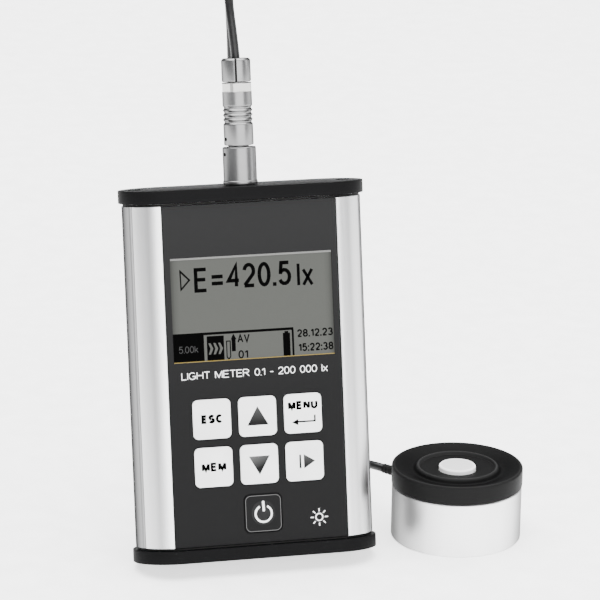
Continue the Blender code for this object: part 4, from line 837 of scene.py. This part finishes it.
def lettering(name, text, height, width, x, z, look, level=None, body="housing", stroke=0.105,
              align="LEFT"):
    """Block letters of the given height that fill the given width, from x on or centred on it."""
    thick = stroke * height
    widths = [GLYPHS[letter][0] for letter in text]
    spaces = (len(text) - 1) * LETTER_SPACE * height + len(text) * thick
    share = (width - spaces) / (sum(widths) * height)
    start = x + thick / 2 - (width / 2 if align == "CENTER" else 0.0)
    outlines = []
    for letter in text:
        across, strokes = GLYPHS[letter]
        room = across * height * share
        for points in strokes:
            line = [(start + room * a, z + thick / 2 + (height - thick) * b) for a, b in points]
            outlines.append(ribbon(line, thick))
        start += room + thick + LETTER_SPACE * height
    return print_strokes(name, outlines, look, level, body)


def print_strokes(name, outlines, look, level, body):
    """A print made of strokes that overlap, each of them a film of its own."""
    level = FACE if level is None else level
    whole = bmesh.new()
    for outline in outlines:
        mesh = mesh_of(slab(outline, level - PRINT, level), "stroke")
        whole.from_mesh(mesh)
        bpy.data.meshes.remove(mesh)
    return piece(name, whole, look, body, METER)


def ring(radius, steps=48, centre=(0.0, 0.0), start=0.0, end=2 * pi):
    turns = [start + (end - start) * step / steps for step in range(steps + (end - start < 6.28))]
    return [(centre[0] + radius * cos(turn), centre[1] + radius * sin(turn)) for turn in turns]


def box_outline(left, low, right, high):
    return [(left, low), (right, low), (right, high), (left, high)]


def at_mm(points):
    return [(x * MM, z * MM) for x, z in points]


def make_display():
    """The display behind its window, with a painted highlight along the upper edge of the window and a warm painted
    reflection along its lower edge.
    """
    low, high = WINDOW_LOW, WINDOW_HIGH
    face = slab(box_outline(low.x, low.z, high.x, high.z), DISPLAY_FACE, high.y)
    piece("display_face", face, LCD, "housing", METER, ["display_window"])
    inset = 0.15 * MM
    # Painted highlight along the window's upper edge and a warm painted reflection along its lower edge, as thin
    # strips.
    edges = (("painted_highlight_strip", high.z - 0.75 * MM, high.z, WINDOW_HIGHLIGHT),
             ("painted_reflection_strip", low.z, low.z + 0.35 * MM, WINDOW_REFLECTION))
    for name, start, end, look in edges:
        outline = box_outline(low.x + inset, start, high.x - inset, end)
        piece(name, slab(outline, DISPLAY_FACE - 0.12 * MM, DISPLAY_FACE + 0.05 * MM), look, "housing", METER)


# Generic content of the display in millimetres: outlines, or a text with its height, width, place and stroke.
READOUT = [
    ("readout_mark", [[(-29.6, 119.0), (-29.4, 110.1), (-25.2, 114.5)],
                      [(-29.05, 117.4), (-28.9, 111.5), (-26.1, 114.5)]]),
    ("readout_letter", ("E=", 9.9, 12.5, -23.7, 109.3, 0.145)),
    ("readout_value", ("420.5", 9.9, 26.7, -10.3, 110.2, 0.145)),
    ("readout_unit", ("lx", 9.9, 6.8, 18.8, 109.3, 0.12)),
    ("status_frame", [box_outline(-33.4, 92.0, 16.4, 93.0), box_outline(15.7, 81.3, 16.5, 92.0)]),
    ("status_box_left", [box_outline(-33.5, 81.2, -20.7, 92.0)]),
    ("status_box_chevrons", [box_outline(-19.5, 81.2, -12.5, 91.4)] + [
        [(left, 84.0), (left + 0.9, 84.0), (left + 2.0, 86.3), (left + 0.9, 88.6), (left, 88.6), (left + 0.8, 86.3)]
        for left in (-18.9, -16.9, -14.9)]),
    ("status_range", ("5.00k", 2.8, 8.0, -31.1, 85.1, 0.11)),
    ("status_probe", [
        [(-11.6, 82.6), (-10.7, 81.2), (-9.7, 82.6), (-9.7, 89.2), (-11.6, 89.2)],
        [(-11.2, 82.8), (-10.7, 82.0), (-10.1, 82.8), (-10.1, 88.8), (-11.2, 88.8)],
        [(-9.3, 84.8), (-7.7, 84.8), (-7.7, 89.6), (-7.3, 89.6), (-8.5, 91.9), (-9.6, 89.6), (-9.3, 89.6)]]),
    ("status_mode", ("AV", 3.5, 5.1, -6.9, 88.0, 0.16)),
    ("status_count", ("01", 3.4, 4.0, -6.7, 81.6, 0.16)),
    ("status_battery", [[(12.0, 81.3), (14.9, 81.3), (14.9, 90.9), (14.2, 90.9), (14.2, 91.6), (12.7, 91.6),
                         (12.7, 90.9), (12.0, 90.9)]]),
    ("readout_date", ("28.12.23", 3.2, 14.9, 17.9, 88.8, 0.18)),
    ("readout_time", ("15:22:38", 3.2, 14.6, 18.2, 83.0, 0.18)),
]


def make_readout():
    """A reading, a status bar with a dim range on its black box, a date and a time."""
    for name, content in READOUT:
        if isinstance(content, list):
            print_on(name, [at_mm(outline) for outline in content], PRINT_BLACK, DISPLAY_FACE)
            continue
        look, level = PRINT_BLACK, DISPLAY_FACE
        if name == "status_range":
            look, level = PRINT_DIM, DISPLAY_FACE - PRINT
        text, height, width, x, z, stroke = content
        lettering(name, text, height * MM, width * MM, x * MM, z * MM, look, level, stroke=stroke)


def make_foil_print():
    lettering("foil_name", "LIGHT METER", 3.0 * MM, 28.0 * MM, -30.6 * MM, 74.3 * MM, PRINT_WHITE)
    lettering("foil_range", "0.1 - 200 000 lx", 3.0 * MM, 30.4 * MM, -0.4 * MM, 74.3 * MM, PRINT_WHITE)
    centre = (24.1 * MM, 15.0 * MM)
    outlines = [ring(1.7 * MM, 40, centre), ring(1.2 * MM, 40, centre)]
    for number in range(8):
        turn = Matrix.Rotation(pi / 4 * number, 2)
        ray = at_mm([(2.3, 0.22), (3.6, 0.22), (3.6, -0.22), (2.3, -0.22)])
        outlines.append([tuple(Vector(centre) + turn @ Vector(point)) for point in ray])
    print_on("foil_light_mark", outlines, PRINT_WHITE)


def make_key(name, look):
    """A key with soft edges and the plunger behind it."""
    x, z, width, height = KEYS[name]
    back = KEY_FACE + 1.0 * MM
    key = piece("key_%s_cap" % name, slab(rounded_box(width, height, KEY_CORNER, 10, (x, z)), KEY_FACE, back),
                look, "key_" + name, METER, ["key_" + name])
    bevelled(key, 0.28 * MM, 3)
    end = meter_box("key_" + name)[1].y
    plunger = turned(drum(3.9 * MM, 0.0, end - back + 0.5 * MM, 32), -90)
    combine(key, shift(plunger, x, back - 0.5 * MM, z), "UNION")


def make_keys():
    for name in KEY_NAMES[:-1]:
        make_key(name, KEY_WHITE)
    make_legends()
    make_power_key()


def on_key(key, points):
    x, z, _, _ = KEYS[key]
    return [(x + a * MM, z + b * MM) for a, b in points]


def make_legends():
    for key, text, height, width, up, stroke in (("esc", "ESC", 3.6, 8.9, -1.7, 0.31),
                                                 ("mem", "MEM", 3.6, 10.1, -1.7, 0.27),
                                                 ("menu", "MENU", 3.5, 12.3, 1.6, 0.28)):
        x, z = on_key(key, [(0.0, up)])[0]
        lettering("legend_" + key, text, height * MM, width * MM, x, z, PRINT_BLACK, KEY_FACE, "key_" + key,
                  stroke, "CENTER")
    bar = [(-2.3, -2.9), (-1.5, -2.9), (-1.5, 2.7), (-2.3, 2.7)]
    wedge = [(-0.4, -3.1), (4.3, -0.1), (-0.4, 2.8)]
    arrow = [(-4.7, -3.5), (-2.1, -4.8), (-2.1, -3.7), (5.2, -3.7), (5.2, -0.9), (4.5, -0.9), (4.5, -3.05),
             (-2.1, -3.05), (-2.1, -2.2)]
    for name, key, look, shapes in (
            ("up", "up", PRINT_UP, [[(0.0, 4.1), (-4.4, -3.6), (4.4, -3.6)]]),
            ("down", "down", PRINT_DOWN, [[(0.0, -4.3), (4.3, 3.3), (-4.3, 3.3)]]),
            ("run", "run", PRINT_UP, [bar, wedge]),
            ("return", "menu", PRINT_BLACK, [arrow])):
        print_on("legend_" + name, [on_key(key, shape) for shape in shapes], look, KEY_FACE, "key_" + key)


def make_power_key():
    """A foil-coloured key with a printed frame, a glossy dome in its middle and a power mark on the dome."""
    make_key("power", FOIL)
    x, z, width, height = KEYS["power"]
    frame_lines = []
    for edge in (0.25 * MM, 0.49 * MM):
        corner = KEY_CORNER + 0.25 * MM - edge
        frame_lines.append(rounded_box(width - 2 * edge, height - 2 * edge, corner, 12, (x, z)))
    print_on("power_frame", frame_lines, PRINT_GREY, KEY_FACE, "key_power")
    radius, rise, steps = 5.3 * MM, 0.9 * MM, 14
    shares = [step / steps for step in range(steps + 1)]
    profile = [(radius * share, rise * cos(share * pi / 2)) for share in shares]
    profile += [(radius, -0.2 * MM), (0.0, -0.2 * MM)]
    middle = z + 0.2 * MM
    dome = shift(turned(lathe(profile, 72), 90), x, KEY_FACE + 0.1 * MM, middle)
    piece("power_dome", dome, DOME_GLOSS, "key_power", METER)
    gap = radians(28)
    start, end = pi / 2 + gap, pi / 2 - gap + 2 * pi
    centre = (x, middle - 0.35 * MM)
    mark = ring(3.75 * MM, 56, centre, start, end) + list(reversed(ring(2.95 * MM, 56, centre, start, end)))
    stroke = rounded_box(0.95 * MM, 4.2 * MM, 0.45 * MM, 6, (x, centre[1] + 3.1 * MM))
    obj = print_on("power_mark", [mark, stroke], PRINT_WHITE, 0.0, "key_power")
    drape(obj, (x, middle), radius, rise)


def drape(obj, centre, radius, rise):
    """Lays a print on the dome of the power key."""
    bm = bmesh.new()
    bm.from_mesh(obj.data)
    bmesh.ops.subdivide_edges(bm, edges=[e for e in bm.edges if e.calc_length() > 0.6 * MM], cuts=2,
                              use_grid_fill=True)
    bmesh.ops.triangulate(bm, faces=bm.faces)
    for vertex in bm.verts:
        share = hypot(vertex.co.x - centre[0], vertex.co.z - centre[1]) / radius
        height = rise * cos(min(1.0, share) * pi / 2)
        vertex.co.y += KEY_FACE + 0.1 * MM - height - 0.02 * MM
    bm.to_mesh(obj.data)
    bm.free()
    crease(obj.data)


# ---------------------------------------------------------------- socket, plug and collet nut
SOCKET_LOW, SOCKET_HIGH = meter_box("sensor_socket")
PLUG_LOW, PLUG_HIGH = meter_box("plug_shell")
NUT_LOW, NUT_HIGH = meter_box("collet_nut")
LATCH_LOW, LATCH_HIGH = meter_box("latch_sleeve")
CABLE_RADIUS = 1.8 * MM
ROUND = 96


def make_socket():
    """The panel socket: a barrel with a rounded rim over a thin flange."""
    base, top = TOP_HIGH.z + GAP, SOCKET_HIGH.z
    flange = SOCKET_HIGH.x
    barrel = flange - 0.25 * MM
    stem, bore = 5.0 * MM, 4.3 * MM
    profile = [
        (bore, SOCKET_LOW.z), (stem, SOCKET_LOW.z), (stem, base), (flange, base),
        (flange, base + 1.4 * MM), (barrel, base + 1.55 * MM), (barrel, top - 0.4 * MM),
        (barrel - 0.2 * MM, top - 0.1 * MM), (barrel - 0.5 * MM, top),
        (bore + 0.4 * MM, top), (bore, top - 0.4 * MM),
    ]
    bm = lathe(rounded(profile, 0.2 * MM, 2, True), ROUND, True)
    piece("socket_barrel", bm, SATIN_CHROME, "housing", METER, ["sensor_socket"])
    index_mark("socket_index", barrel, top - 2.9 * MM, "housing")


INDEX_TURN = radians(197)


def index_mark(name, radius, z, body):
    """A small black index dot let into the side of a round piece."""
    dot = lathe(rounded([(0.0, 0.08 * MM), (0.75 * MM, 0.08 * MM), (0.75 * MM, -0.5 * MM), (0.0, -0.5 * MM)],
                        0.05 * MM, 2), 32)
    turn = Matrix.Rotation(INDEX_TURN, 4, "Z") @ Matrix.Translation((radius, 0.0, z))
    bmesh.ops.transform(dot, matrix=turn @ Matrix.Rotation(radians(90), 4, "Y"), verts=dot.verts)
    piece(name, dot, PRINT_BLACK, body, METER)


def grip_profile(radius, start, pitch, count, depth):
    """Soft grip ridges as (radius, z), upwards from start."""
    steps = 10
    points = []
    for step in range(count * steps + 1):
        share = step / steps
        wave = 0.5 - 0.5 * cos(2 * pi * share)
        points.append((radius - depth * wave ** 0.8, start + pitch * share))
    return points


def make_plug():
    """The plug's outer shell with its grip and wrench flats, and the latch sleeve inside it."""
    radius, low, top = PLUG_HIGH.x, PLUG_LOW.z, PLUG_HIGH.z
    grip, pitch, count = low + 8.5 * MM, 1.9 * MM, 4
    bore = LATCH_HIGH.x + GAP
    neck = CABLE_RADIUS + GAP
    room = low + 19.7 * MM
    outer = [(bore, low), (radius - 0.5 * MM, low), (radius - 0.12 * MM, low + 0.14 * MM),
             (radius, low + 0.55 * MM), (radius, grip - 0.3 * MM)]
    outer += grip_profile(radius, grip, pitch, count, 0.55 * MM)
    flat_low, flat_high = low + 21.7 * MM, low + 25.0 * MM
    outer += [(radius, grip + pitch * count + 0.3 * MM), (radius, flat_low - 0.03 * MM),
              (radius, flat_high + 0.03 * MM), (radius, top - 0.2 * MM), (radius - 0.2 * MM, top)]
    inner = [(neck, top), (neck, room), (bore, room)]
    shell = piece("plug_barrel", lathe(outer + inner, ROUND, True), SATIN_CHROME, "plug", METER,
                  ["plug_shell"])
    cut_quarters(shell, 4.7 * MM, 2 * radius, 2 * radius, flat_low, flat_high, 13)

    def in_band(centre, normal):
        outside = hypot(centre.x, centre.y) > 4.5 * MM
        return outside and flat_low - 0.04 * MM < centre.z < flat_high + 0.04 * MM

    # Painted highlight: the band of wrench flats takes the lighter metal.
    paint(shell, FLATS_HIGHLIGHT, in_band)
    index_mark("plug_index", radius, low + 2.6 * MM, "plug")

    sleeve = LATCH_HIGH.x
    nose, wall = 4.0 * MM, 0.7 * MM
    step = low + 3.2 * MM
    profile = [
        (nose - wall, LATCH_LOW.z), (nose, LATCH_LOW.z), (nose, step - MM), (sleeve, step),
        (sleeve, LATCH_HIGH.z), (nose - wall, LATCH_HIGH.z),
    ]
    bm = lathe(rounded(profile, 0.25 * MM, 2, True), ROUND, True)
    piece("latch_tube", bm, SATIN_CHROME, "latch", METER, ["latch_sleeve"])


def make_collet_nut():
    """The slotted nut that closes the clamp on the cable."""
    radius, low, top = (NUT_HIGH.x - NUT_LOW.x) / 2, NUT_LOW.z, NUT_HIGH.z
    clamp, neck = 3.9 * MM, CABLE_RADIUS + GAP
    room = top - 2.0 * MM
    profile = [
        (clamp, low), (radius - 0.3 * MM, low), (radius, low + 0.3 * MM), (radius, top - 0.75 * MM),
        (radius - 0.75 * MM, top), (neck + 0.3 * MM, top), (neck, top - 0.3 * MM), (neck, room), (clamp, room),
    ]
    nut = piece("cable_nut", lathe(rounded(profile, 0.25 * MM, 2, True), ROUND, True), SATIN_CHROME, "plug",
                METER, ["collet_nut"])
    inner = radius - 0.6 * MM
    cut_quarters(nut, inner, 2 * radius, 0.45 * MM, low - MM, top + MM, 257)

    def in_slot(centre, normal):
        return abs(hypot(centre.x, centre.y) - inner) < 0.25 * MM and abs(normal.z) < 0.5

    # Painted shadow: the walls deep in the slots are made dark.
    paint(nut, PAINTED_SHADOW, in_slot)


# ---------------------------------------------------------------- cable
# The route's own points, from the housing's foot on the floor, as the CAD tubes have them.
PLUG_ROUTE = [
    (-0.0006, 0.0495, 0.2095), (-0.0012, 0.0537, 0.2200), (-0.0006, 0.0612, 0.2300), (0.0014, 0.0712, 0.2352),
    (0.0038, 0.0810, 0.2325), (0.0058, 0.0875, 0.2235), (0.0070, 0.0900, 0.2110), (0.0082, 0.0906, 0.1900),
    (0.0090, 0.0902, 0.1500), (0.0090, 0.0890, 0.1050), (0.0087, 0.0872, 0.0600), (0.0083, 0.0865, 0.0330),
    (0.0081, 0.0885, 0.0170), (0.0080, 0.0940, 0.0065), (0.0079, 0.1000, 0.0028), (0.0079, 0.1065, 0.0021),
]
SENSOR_ROUTE = [
    (0.0631, 0.1075, 0.0021), (0.0628, 0.0980, 0.0021), (0.0619, 0.0880, 0.0025), (0.0605, 0.0790, 0.0045),
    (0.0590, 0.0700, 0.0090), (0.0585, 0.0610, 0.0148), (0.0602, 0.0520, 0.0186),
]
COIL_LOW, COIL_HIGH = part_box("cable_coil")
COIL_CENTRE = (COIL_LOW + COIL_HIGH) / 2
COIL_MEAN = 20.0 * MM
COIL_LAYER = 3.6 * MM
# Where each turn lies in the bundle, as (outwards, upwards) in cable diameters.
COIL_PLACES = [(1, 0), (1, 1), (0, 1), (-1, 1), (0, 0), (-1, 0), (-1, -1), (0, -1)]
COIL_STEPS = 60
COIL_QUARTER = COIL_STEPS // 4


def smooth_line(points, spacing):
    """Points a spacing apart on a smooth curve through the given points."""
    knots = [Vector(point) for point in points]
    ends = [2 * knots[0] - knots[1]] + knots + [2 * knots[-1] - knots[-2]]
    fine = []
    for before, start, end, after in zip(ends, ends[1:], ends[2:], ends[3:]):
        for step in range(12):
            t = step / 12
            along = (end - before) * t
            square = (2 * before - 5 * start + 4 * end - after) * t * t
            cube = (3 * start - before - 3 * end + after) * t * t * t
            fine.append(start + 0.5 * (along + square + cube))
    fine.append(knots[-1])
    total = length_of(fine)
    count = max(2, round(total / spacing))
    line, walked, goal = [fine[0]], 0.0, total / count
    for a, b in zip(fine, fine[1:]):
        length = (b - a).length
        while walked + length >= goal * len(line) and len(line) < count:
            line.append(a.lerp(b, (goal * len(line) - walked) / length))
        walked += length
    line.append(fine[-1])
    return line


def length_of(line):
    return sum((b - a).length for a, b in zip(line, line[1:]))


def ease(share):
    share = max(0.0, min(1.0, share))
    return share * share * (3 - 2 * share)


def coil_place(turns):
    """Radius and height of the cable after a number of turns, counted clockwise from the tie."""
    number = int(turns)
    share = turns - number
    last = len(COIL_PLACES) - 1
    here = COIL_PLACES[min(number, last)]
    after = COIL_PLACES[number + 1] if number + 1 <= last else (1, -1)
    mix = ease((share - 0.80) / 0.20)
    out = here[0] + (after[0] - here[0]) * mix
    rise = here[1] + (after[1] - here[1]) * mix
    wobble = 0.12 * sin(2 * pi * turns * 0.37 + number) * sin(pi * share) ** 2
    return COIL_MEAN + (out + wobble) * COIL_LAYER * 0.985, COIL_CENTRE.z + (rise * 0.985) * COIL_LAYER


def coil_point(turns, radius, height):
    angle = pi / 2 - 2 * pi * turns
    return Vector((COIL_CENTRE.x + radius * cos(angle), COIL_CENTRE.y + radius * sin(angle), height))


def coil_quarter(turns, start, end, steps):
    """A quarter turn of the coil that eases from one (radius, height) to another."""
    points = []
    for step in steps:
        share = step / COIL_QUARTER
        radius, height = [a + (b - a) * ease(share) for a, b in zip(start, end)]
        points.append(coil_point(turns + 0.25 * share, radius, height))
    return points


def coil_turns():
    """All whole turns, from tie to tie."""
    shares = [step / COIL_STEPS for step in range(len(COIL_PLACES) * COIL_STEPS + 1)]
    return [coil_point(share, *coil_place(share)) for share in shares]


def cable_run(name, line, body=None):
    """A round cable with closed ends that follows the line."""
    sides = 14
    bm = bmesh.new()
    rings = []
    along = (line[1] - line[0]).normalized()
    side = along.orthogonal().normalized()
    for number, point in enumerate(line):
        before, after = line[max(0, number - 1)], line[min(len(line) - 1, number + 1)]
        along = (after - before).normalized()
        side = (side - along * side.dot(along)).normalized()
        over = along.cross(side)
        turns = [2 * pi * step / sides for step in range(sides)]
        spokes = [side * cos(turn) + over * sin(turn) for turn in turns]
        rings.append([bm.verts.new(point + CABLE_RADIUS * spoke) for spoke in spokes])
    for first, second in zip(rings, rings[1:]):
        bridge(bm, first, second)
    bm.faces.new(rings[0])
    bm.faces.new(list(reversed(rings[-1])))
    return piece(name, bm, CABLE, body)


def make_cable():
    """Both stretches of the cable and the coil, which meet under the tie."""
    nut_top = METER @ Vector((0.0, 0.0, NUT_HIGH.z))
    inside = nut_top - UP * 8.9 * MM
    falling = smooth_line([inside, nut_top] + [FLOOR_FOOT + Vector(p) for p in PLUG_ROUTE], 2.5 * MM)
    last = falling[-1]
    beside = (COIL_CENTRE.x - last.x, last.z)
    line = falling + coil_quarter(-0.25, beside, coil_place(0.0), range(1, COIL_QUARTER)) + coil_turns()
    cable = cable_run("cable_from_plug", line)
    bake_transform(cable)
    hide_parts("sensor_cable")
    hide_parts("cable_coil")
    tie = make_coil_tie()

    end = boot_end()
    way = boot_way()
    route = [FLOOR_FOOT + Vector(point) for point in SENSOR_ROUTE]
    leaving = smooth_line(route + [end + way * 3.5 * MM, end], 2.5 * MM)
    beside = (leaving[0].x - COIL_CENTRE.x, leaving[0].z)
    line = coil_quarter(0.0, coil_place(float(len(COIL_PLACES))), beside, range(COIL_QUARTER)) + leaving
    cable = cable_run("cable_to_sensor", line)
    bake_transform(cable)
    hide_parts("sensor_cable_end")


def make_coil_tie():
    """A soft rubber band round the bundle."""
    low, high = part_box("coil_tie")
    wall = 1.0 * MM
    middle = (low + high) / 2
    depth, height = high.y - low.y, high.z - low.z
    outer = rounded_box(depth, height, 3.2 * MM, 8, (middle.y, middle.z))
    inner = rounded_box(depth - 2 * wall, height - 2 * wall, 2.4 * MM, 8, (middle.y, middle.z))
    bm = bmesh.new()
    width = high.x - low.x
    rows = []
    for x, outline in ((low.x, outer), (high.x, outer), (high.x, inner), (low.x, inner)):
        rows.append([bm.verts.new((x, y, z)) for y, z in outline])
    for first, second in zip(rows, rows[1:] + rows[:1]):
        bridge(bm, first, second)
    tie = piece("cable_tie", bm, RUBBER, "housing", None, ["coil_tie"])
    return bevelled(tie, min(0.3 * MM, width / 4), 3, 50)


# ---------------------------------------------------------------- sensor head
BOOT_TURN = radians(128)
BOOT_HEIGHT = 19.8 * MM
BOOT_LENGTH = 10.5 * MM
HEAD_RADIUS = (HEAD_HIGH.x - HEAD_LOW.x) / 2
HEAD_ROUND = 144
BOOT_PLACE = (Matrix.Translation((0.0, 0.0, BOOT_HEIGHT)) @ Matrix.Rotation(BOOT_TURN, 4, "Z")
              @ Matrix.Rotation(radians(90), 4, "Y"))


def boot_way():
    return Vector((cos(BOOT_TURN), sin(BOOT_TURN), 0.0))


def boot_end():
    reach = HEAD_RADIUS + GAP + BOOT_LENGTH + GAP
    return Vector((HEAD_CENTRE.x, HEAD_CENTRE.y, BOOT_HEIGHT)) + boot_way() * reach


def make_sensor_head():
    wall, plate = 2.5 * MM, 3.1 * MM
    inner = HEAD_RADIUS - wall
    height = HEAD_HIGH.z
    profile = [
        (inner, 0.0), (HEAD_RADIUS - 0.45 * MM, 0.0), (HEAD_RADIUS, 0.5 * MM), (HEAD_RADIUS, height - 0.4 * MM),
        (HEAD_RADIUS - 0.4 * MM, height), (inner, height), (inner, 13.7 * MM), (inner - 1.8 * MM, 13.7 * MM),
        (inner - 1.8 * MM, plate), (inner, plate),
    ]
    bm = lathe(rounded(profile, 0.2 * MM, 3, True), HEAD_ROUND, True)
    body = piece("head_body", bm, HEAD_METAL, "sensor_head", HEAD, ["sensor_body"])
    hole = drum(2.45 * MM, inner - MM, HEAD_RADIUS + MM, 40)
    bmesh.ops.transform(hole, matrix=BOOT_PLACE, verts=hole.verts)
    cut_out(body, [hole])
    make_cover()
    make_diffuser()
    make_boot(inner)


def make_cover():
    """The black cover: a raised rim, a valley, a ring, and a flat well round the diffuser."""
    low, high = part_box("sensor_cover")
    outer = (high.x - low.x) / 2
    base, top = low.z, high.z
    well = top - 1.7 * MM
    ceiling = top - 3.5 * MM
    hole = 8.0 * MM
    profile = [
        (outer - 2.1 * MM, base), (outer, base), (outer, top - 0.6 * MM), (outer - 0.6 * MM, top),
        (outer - 1.3 * MM, top - 0.1 * MM), (outer - 3.8 * MM, top - 0.9 * MM), (19.5 * MM, top - 2.2 * MM),
        (18.1 * MM, top - 2.1 * MM), (16.6 * MM, top - 0.2 * MM), (15.9 * MM, top - 0.2 * MM), (15.7 * MM, well),
        (hole, well), (hole, ceiling), (outer - 2.1 * MM, ceiling),
    ]
    bm = lathe(rounded(profile, 0.45 * MM, 4, True), HEAD_ROUND, True)
    piece("head_cover", bm, COVER_BLACK, "sensor_head", HEAD, ["sensor_cover"])


def make_diffuser():
    low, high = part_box("diffuser")
    radius, flange = 7.6 * MM, (high.x - low.x) / 2
    top, base = high.z, low.z
    shares = [step / 10 for step in range(11)]
    profile = [((radius - 0.4 * MM) * share, top - 0.15 * MM * share ** 2) for share in shares]
    profile += [(radius, top - 0.6 * MM), (radius, base + 1.2 * MM), (flange, base + 1.2 * MM),
                (flange, base), (0.0, base)]
    piece("opal_disc", lathe(profile, 96), OPAL, "sensor_head", HEAD, ["diffuser"])


def make_boot(inner):
    """The strain relief: a tapered sleeve with shallow rings."""
    start = HEAD_RADIUS + GAP
    end = start + BOOT_LENGTH
    radius, tip = 2.35 * MM, 2.05 * MM
    profile = [(CABLE_RADIUS * 0.55, inner + GAP), (radius - 0.2 * MM, inner + GAP), (radius - 0.2 * MM, start)]
    rings, steps = 6, 8
    for step in range(rings * steps + 1):
        share = step / (rings * steps)
        wave = 0.5 - 0.5 * cos(2 * pi * rings * share)
        profile.append((radius + (tip - radius) * share - 0.18 * MM * wave, start + (end - start) * share))
    profile.append((CABLE_RADIUS * 0.55, end))
    bm = lathe(profile, 40, True)
    bmesh.ops.transform(bm, matrix=BOOT_PLACE, verts=bm.verts)
    piece("head_boot", bm, RUBBER, "sensor_head", HEAD, ["strain_relief"])


# ---------------------------------------------------------------- stand
def make_stand():
    """The leg, with rounded corners and a sunk panel, and its rubber foot."""
    pivot = Vector(JOINTS["stand_fold"]["pos_m"])
    foot_low, foot_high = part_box("stand_foot")
    foot = (foot_low + foot_high) / 2
    down = Vector((0.0, foot.y - pivot.y, foot.z - pivot.z))
    length = down.length
    leg_axis = -down.normalized()
    middle = (foot_low.x + foot_high.x) / 2
    place = placed(Vector((1.0, 0.0, 0.0)), leg_axis.cross(Vector((1.0, 0.0, 0.0))), leg_axis,
                   Vector((middle, pivot.y, pivot.z)))
    width = foot_high.x - foot_low.x
    radius = (foot_high.z - foot_low.z) / 2
    thick = 1.1 * MM
    low = -length + radius + GAP
    outline = [(-width / 2, low), (width / 2, low), (width / 2, 0.0), (-width / 2, 0.0)]
    leg = piece("stand_plate", slab(outline, -thick, thick), CAP_BLACK, "stand", place,
                ["stand_leg"])
    combine(leg, turned(drum(2.7 * MM, -width / 2, width / 2, 48), 90, "Y"), "UNION")
    bore = turned(drum(1.3 * MM, -width, width, 32), 90, "Y")
    panel = rounded_box(width - 9 * MM, length - 22 * MM, 3 * MM, 8, (0.0, low / 2 - 1.5 * MM))
    depth = 0.6 * MM
    cut_out(leg, [bore, slab(panel, thick - depth, thick + MM), slab(panel, -thick - MM, -thick + depth)])
    bevelled(leg, 0.25 * MM, 2, 50)

    bm = lathe(rounded([(0.0, -width / 2), (radius, -width / 2), (radius, width / 2), (0.0, width / 2)],
                       0.6 * MM, 4), 48)
    piece("stand_rubber", shift(turned(bm, 90, "Y"), 0.0, 0.0, -length), RUBBER, "stand", place,
          ["stand_foot"])


# ---------------------------------------------------------------- looks of the CAD nodes that stay
NODE_LOOKS = (
    (RUBBER, "top_cap_gasket bottom_cap_gasket cover_seal"),
    (STEEL, "dome_sheet battery_link battery_springs socket_nut stand_pin stand_rivet_left stand_rivet_right"),
    (STEEL, "photodiode"), (BOARD, "keypad_board main_board sensor_board"),
    (CAP_BLACK, "battery_holder board_connector display_frame socket_insert plug_insert stand_bracket"),
    (CAP_BLACK, "filter_holder"), (CELL, "battery_cell_left battery_cell_right"), (LCD, "display_glass"),
    (KEY_WHITE, "display_backlight"), (BRASS, "cable_clamp"), (FILTER, "filter_stack"),
    (HEAD_METAL, "sensor_base_plate"),
)


def dress_cad_nodes():
    for look, nodes in NODE_LOOKS:
        for node in nodes.split():
            materials = frame["nodes"][node].data.materials
            if not materials:
                materials.append(look)
            for slot in range(len(materials)):
                materials[slot] = look


make_camera()
make_studio()
make_cable()
make_case()
make_caps()
make_foil()
make_display()
make_readout()
make_foil_print()
make_keys()
make_socket()
make_plug()
make_collet_nut()
make_sensor_head()
make_stand()
dress_cad_nodes()
bpy.context.view_layer.update()
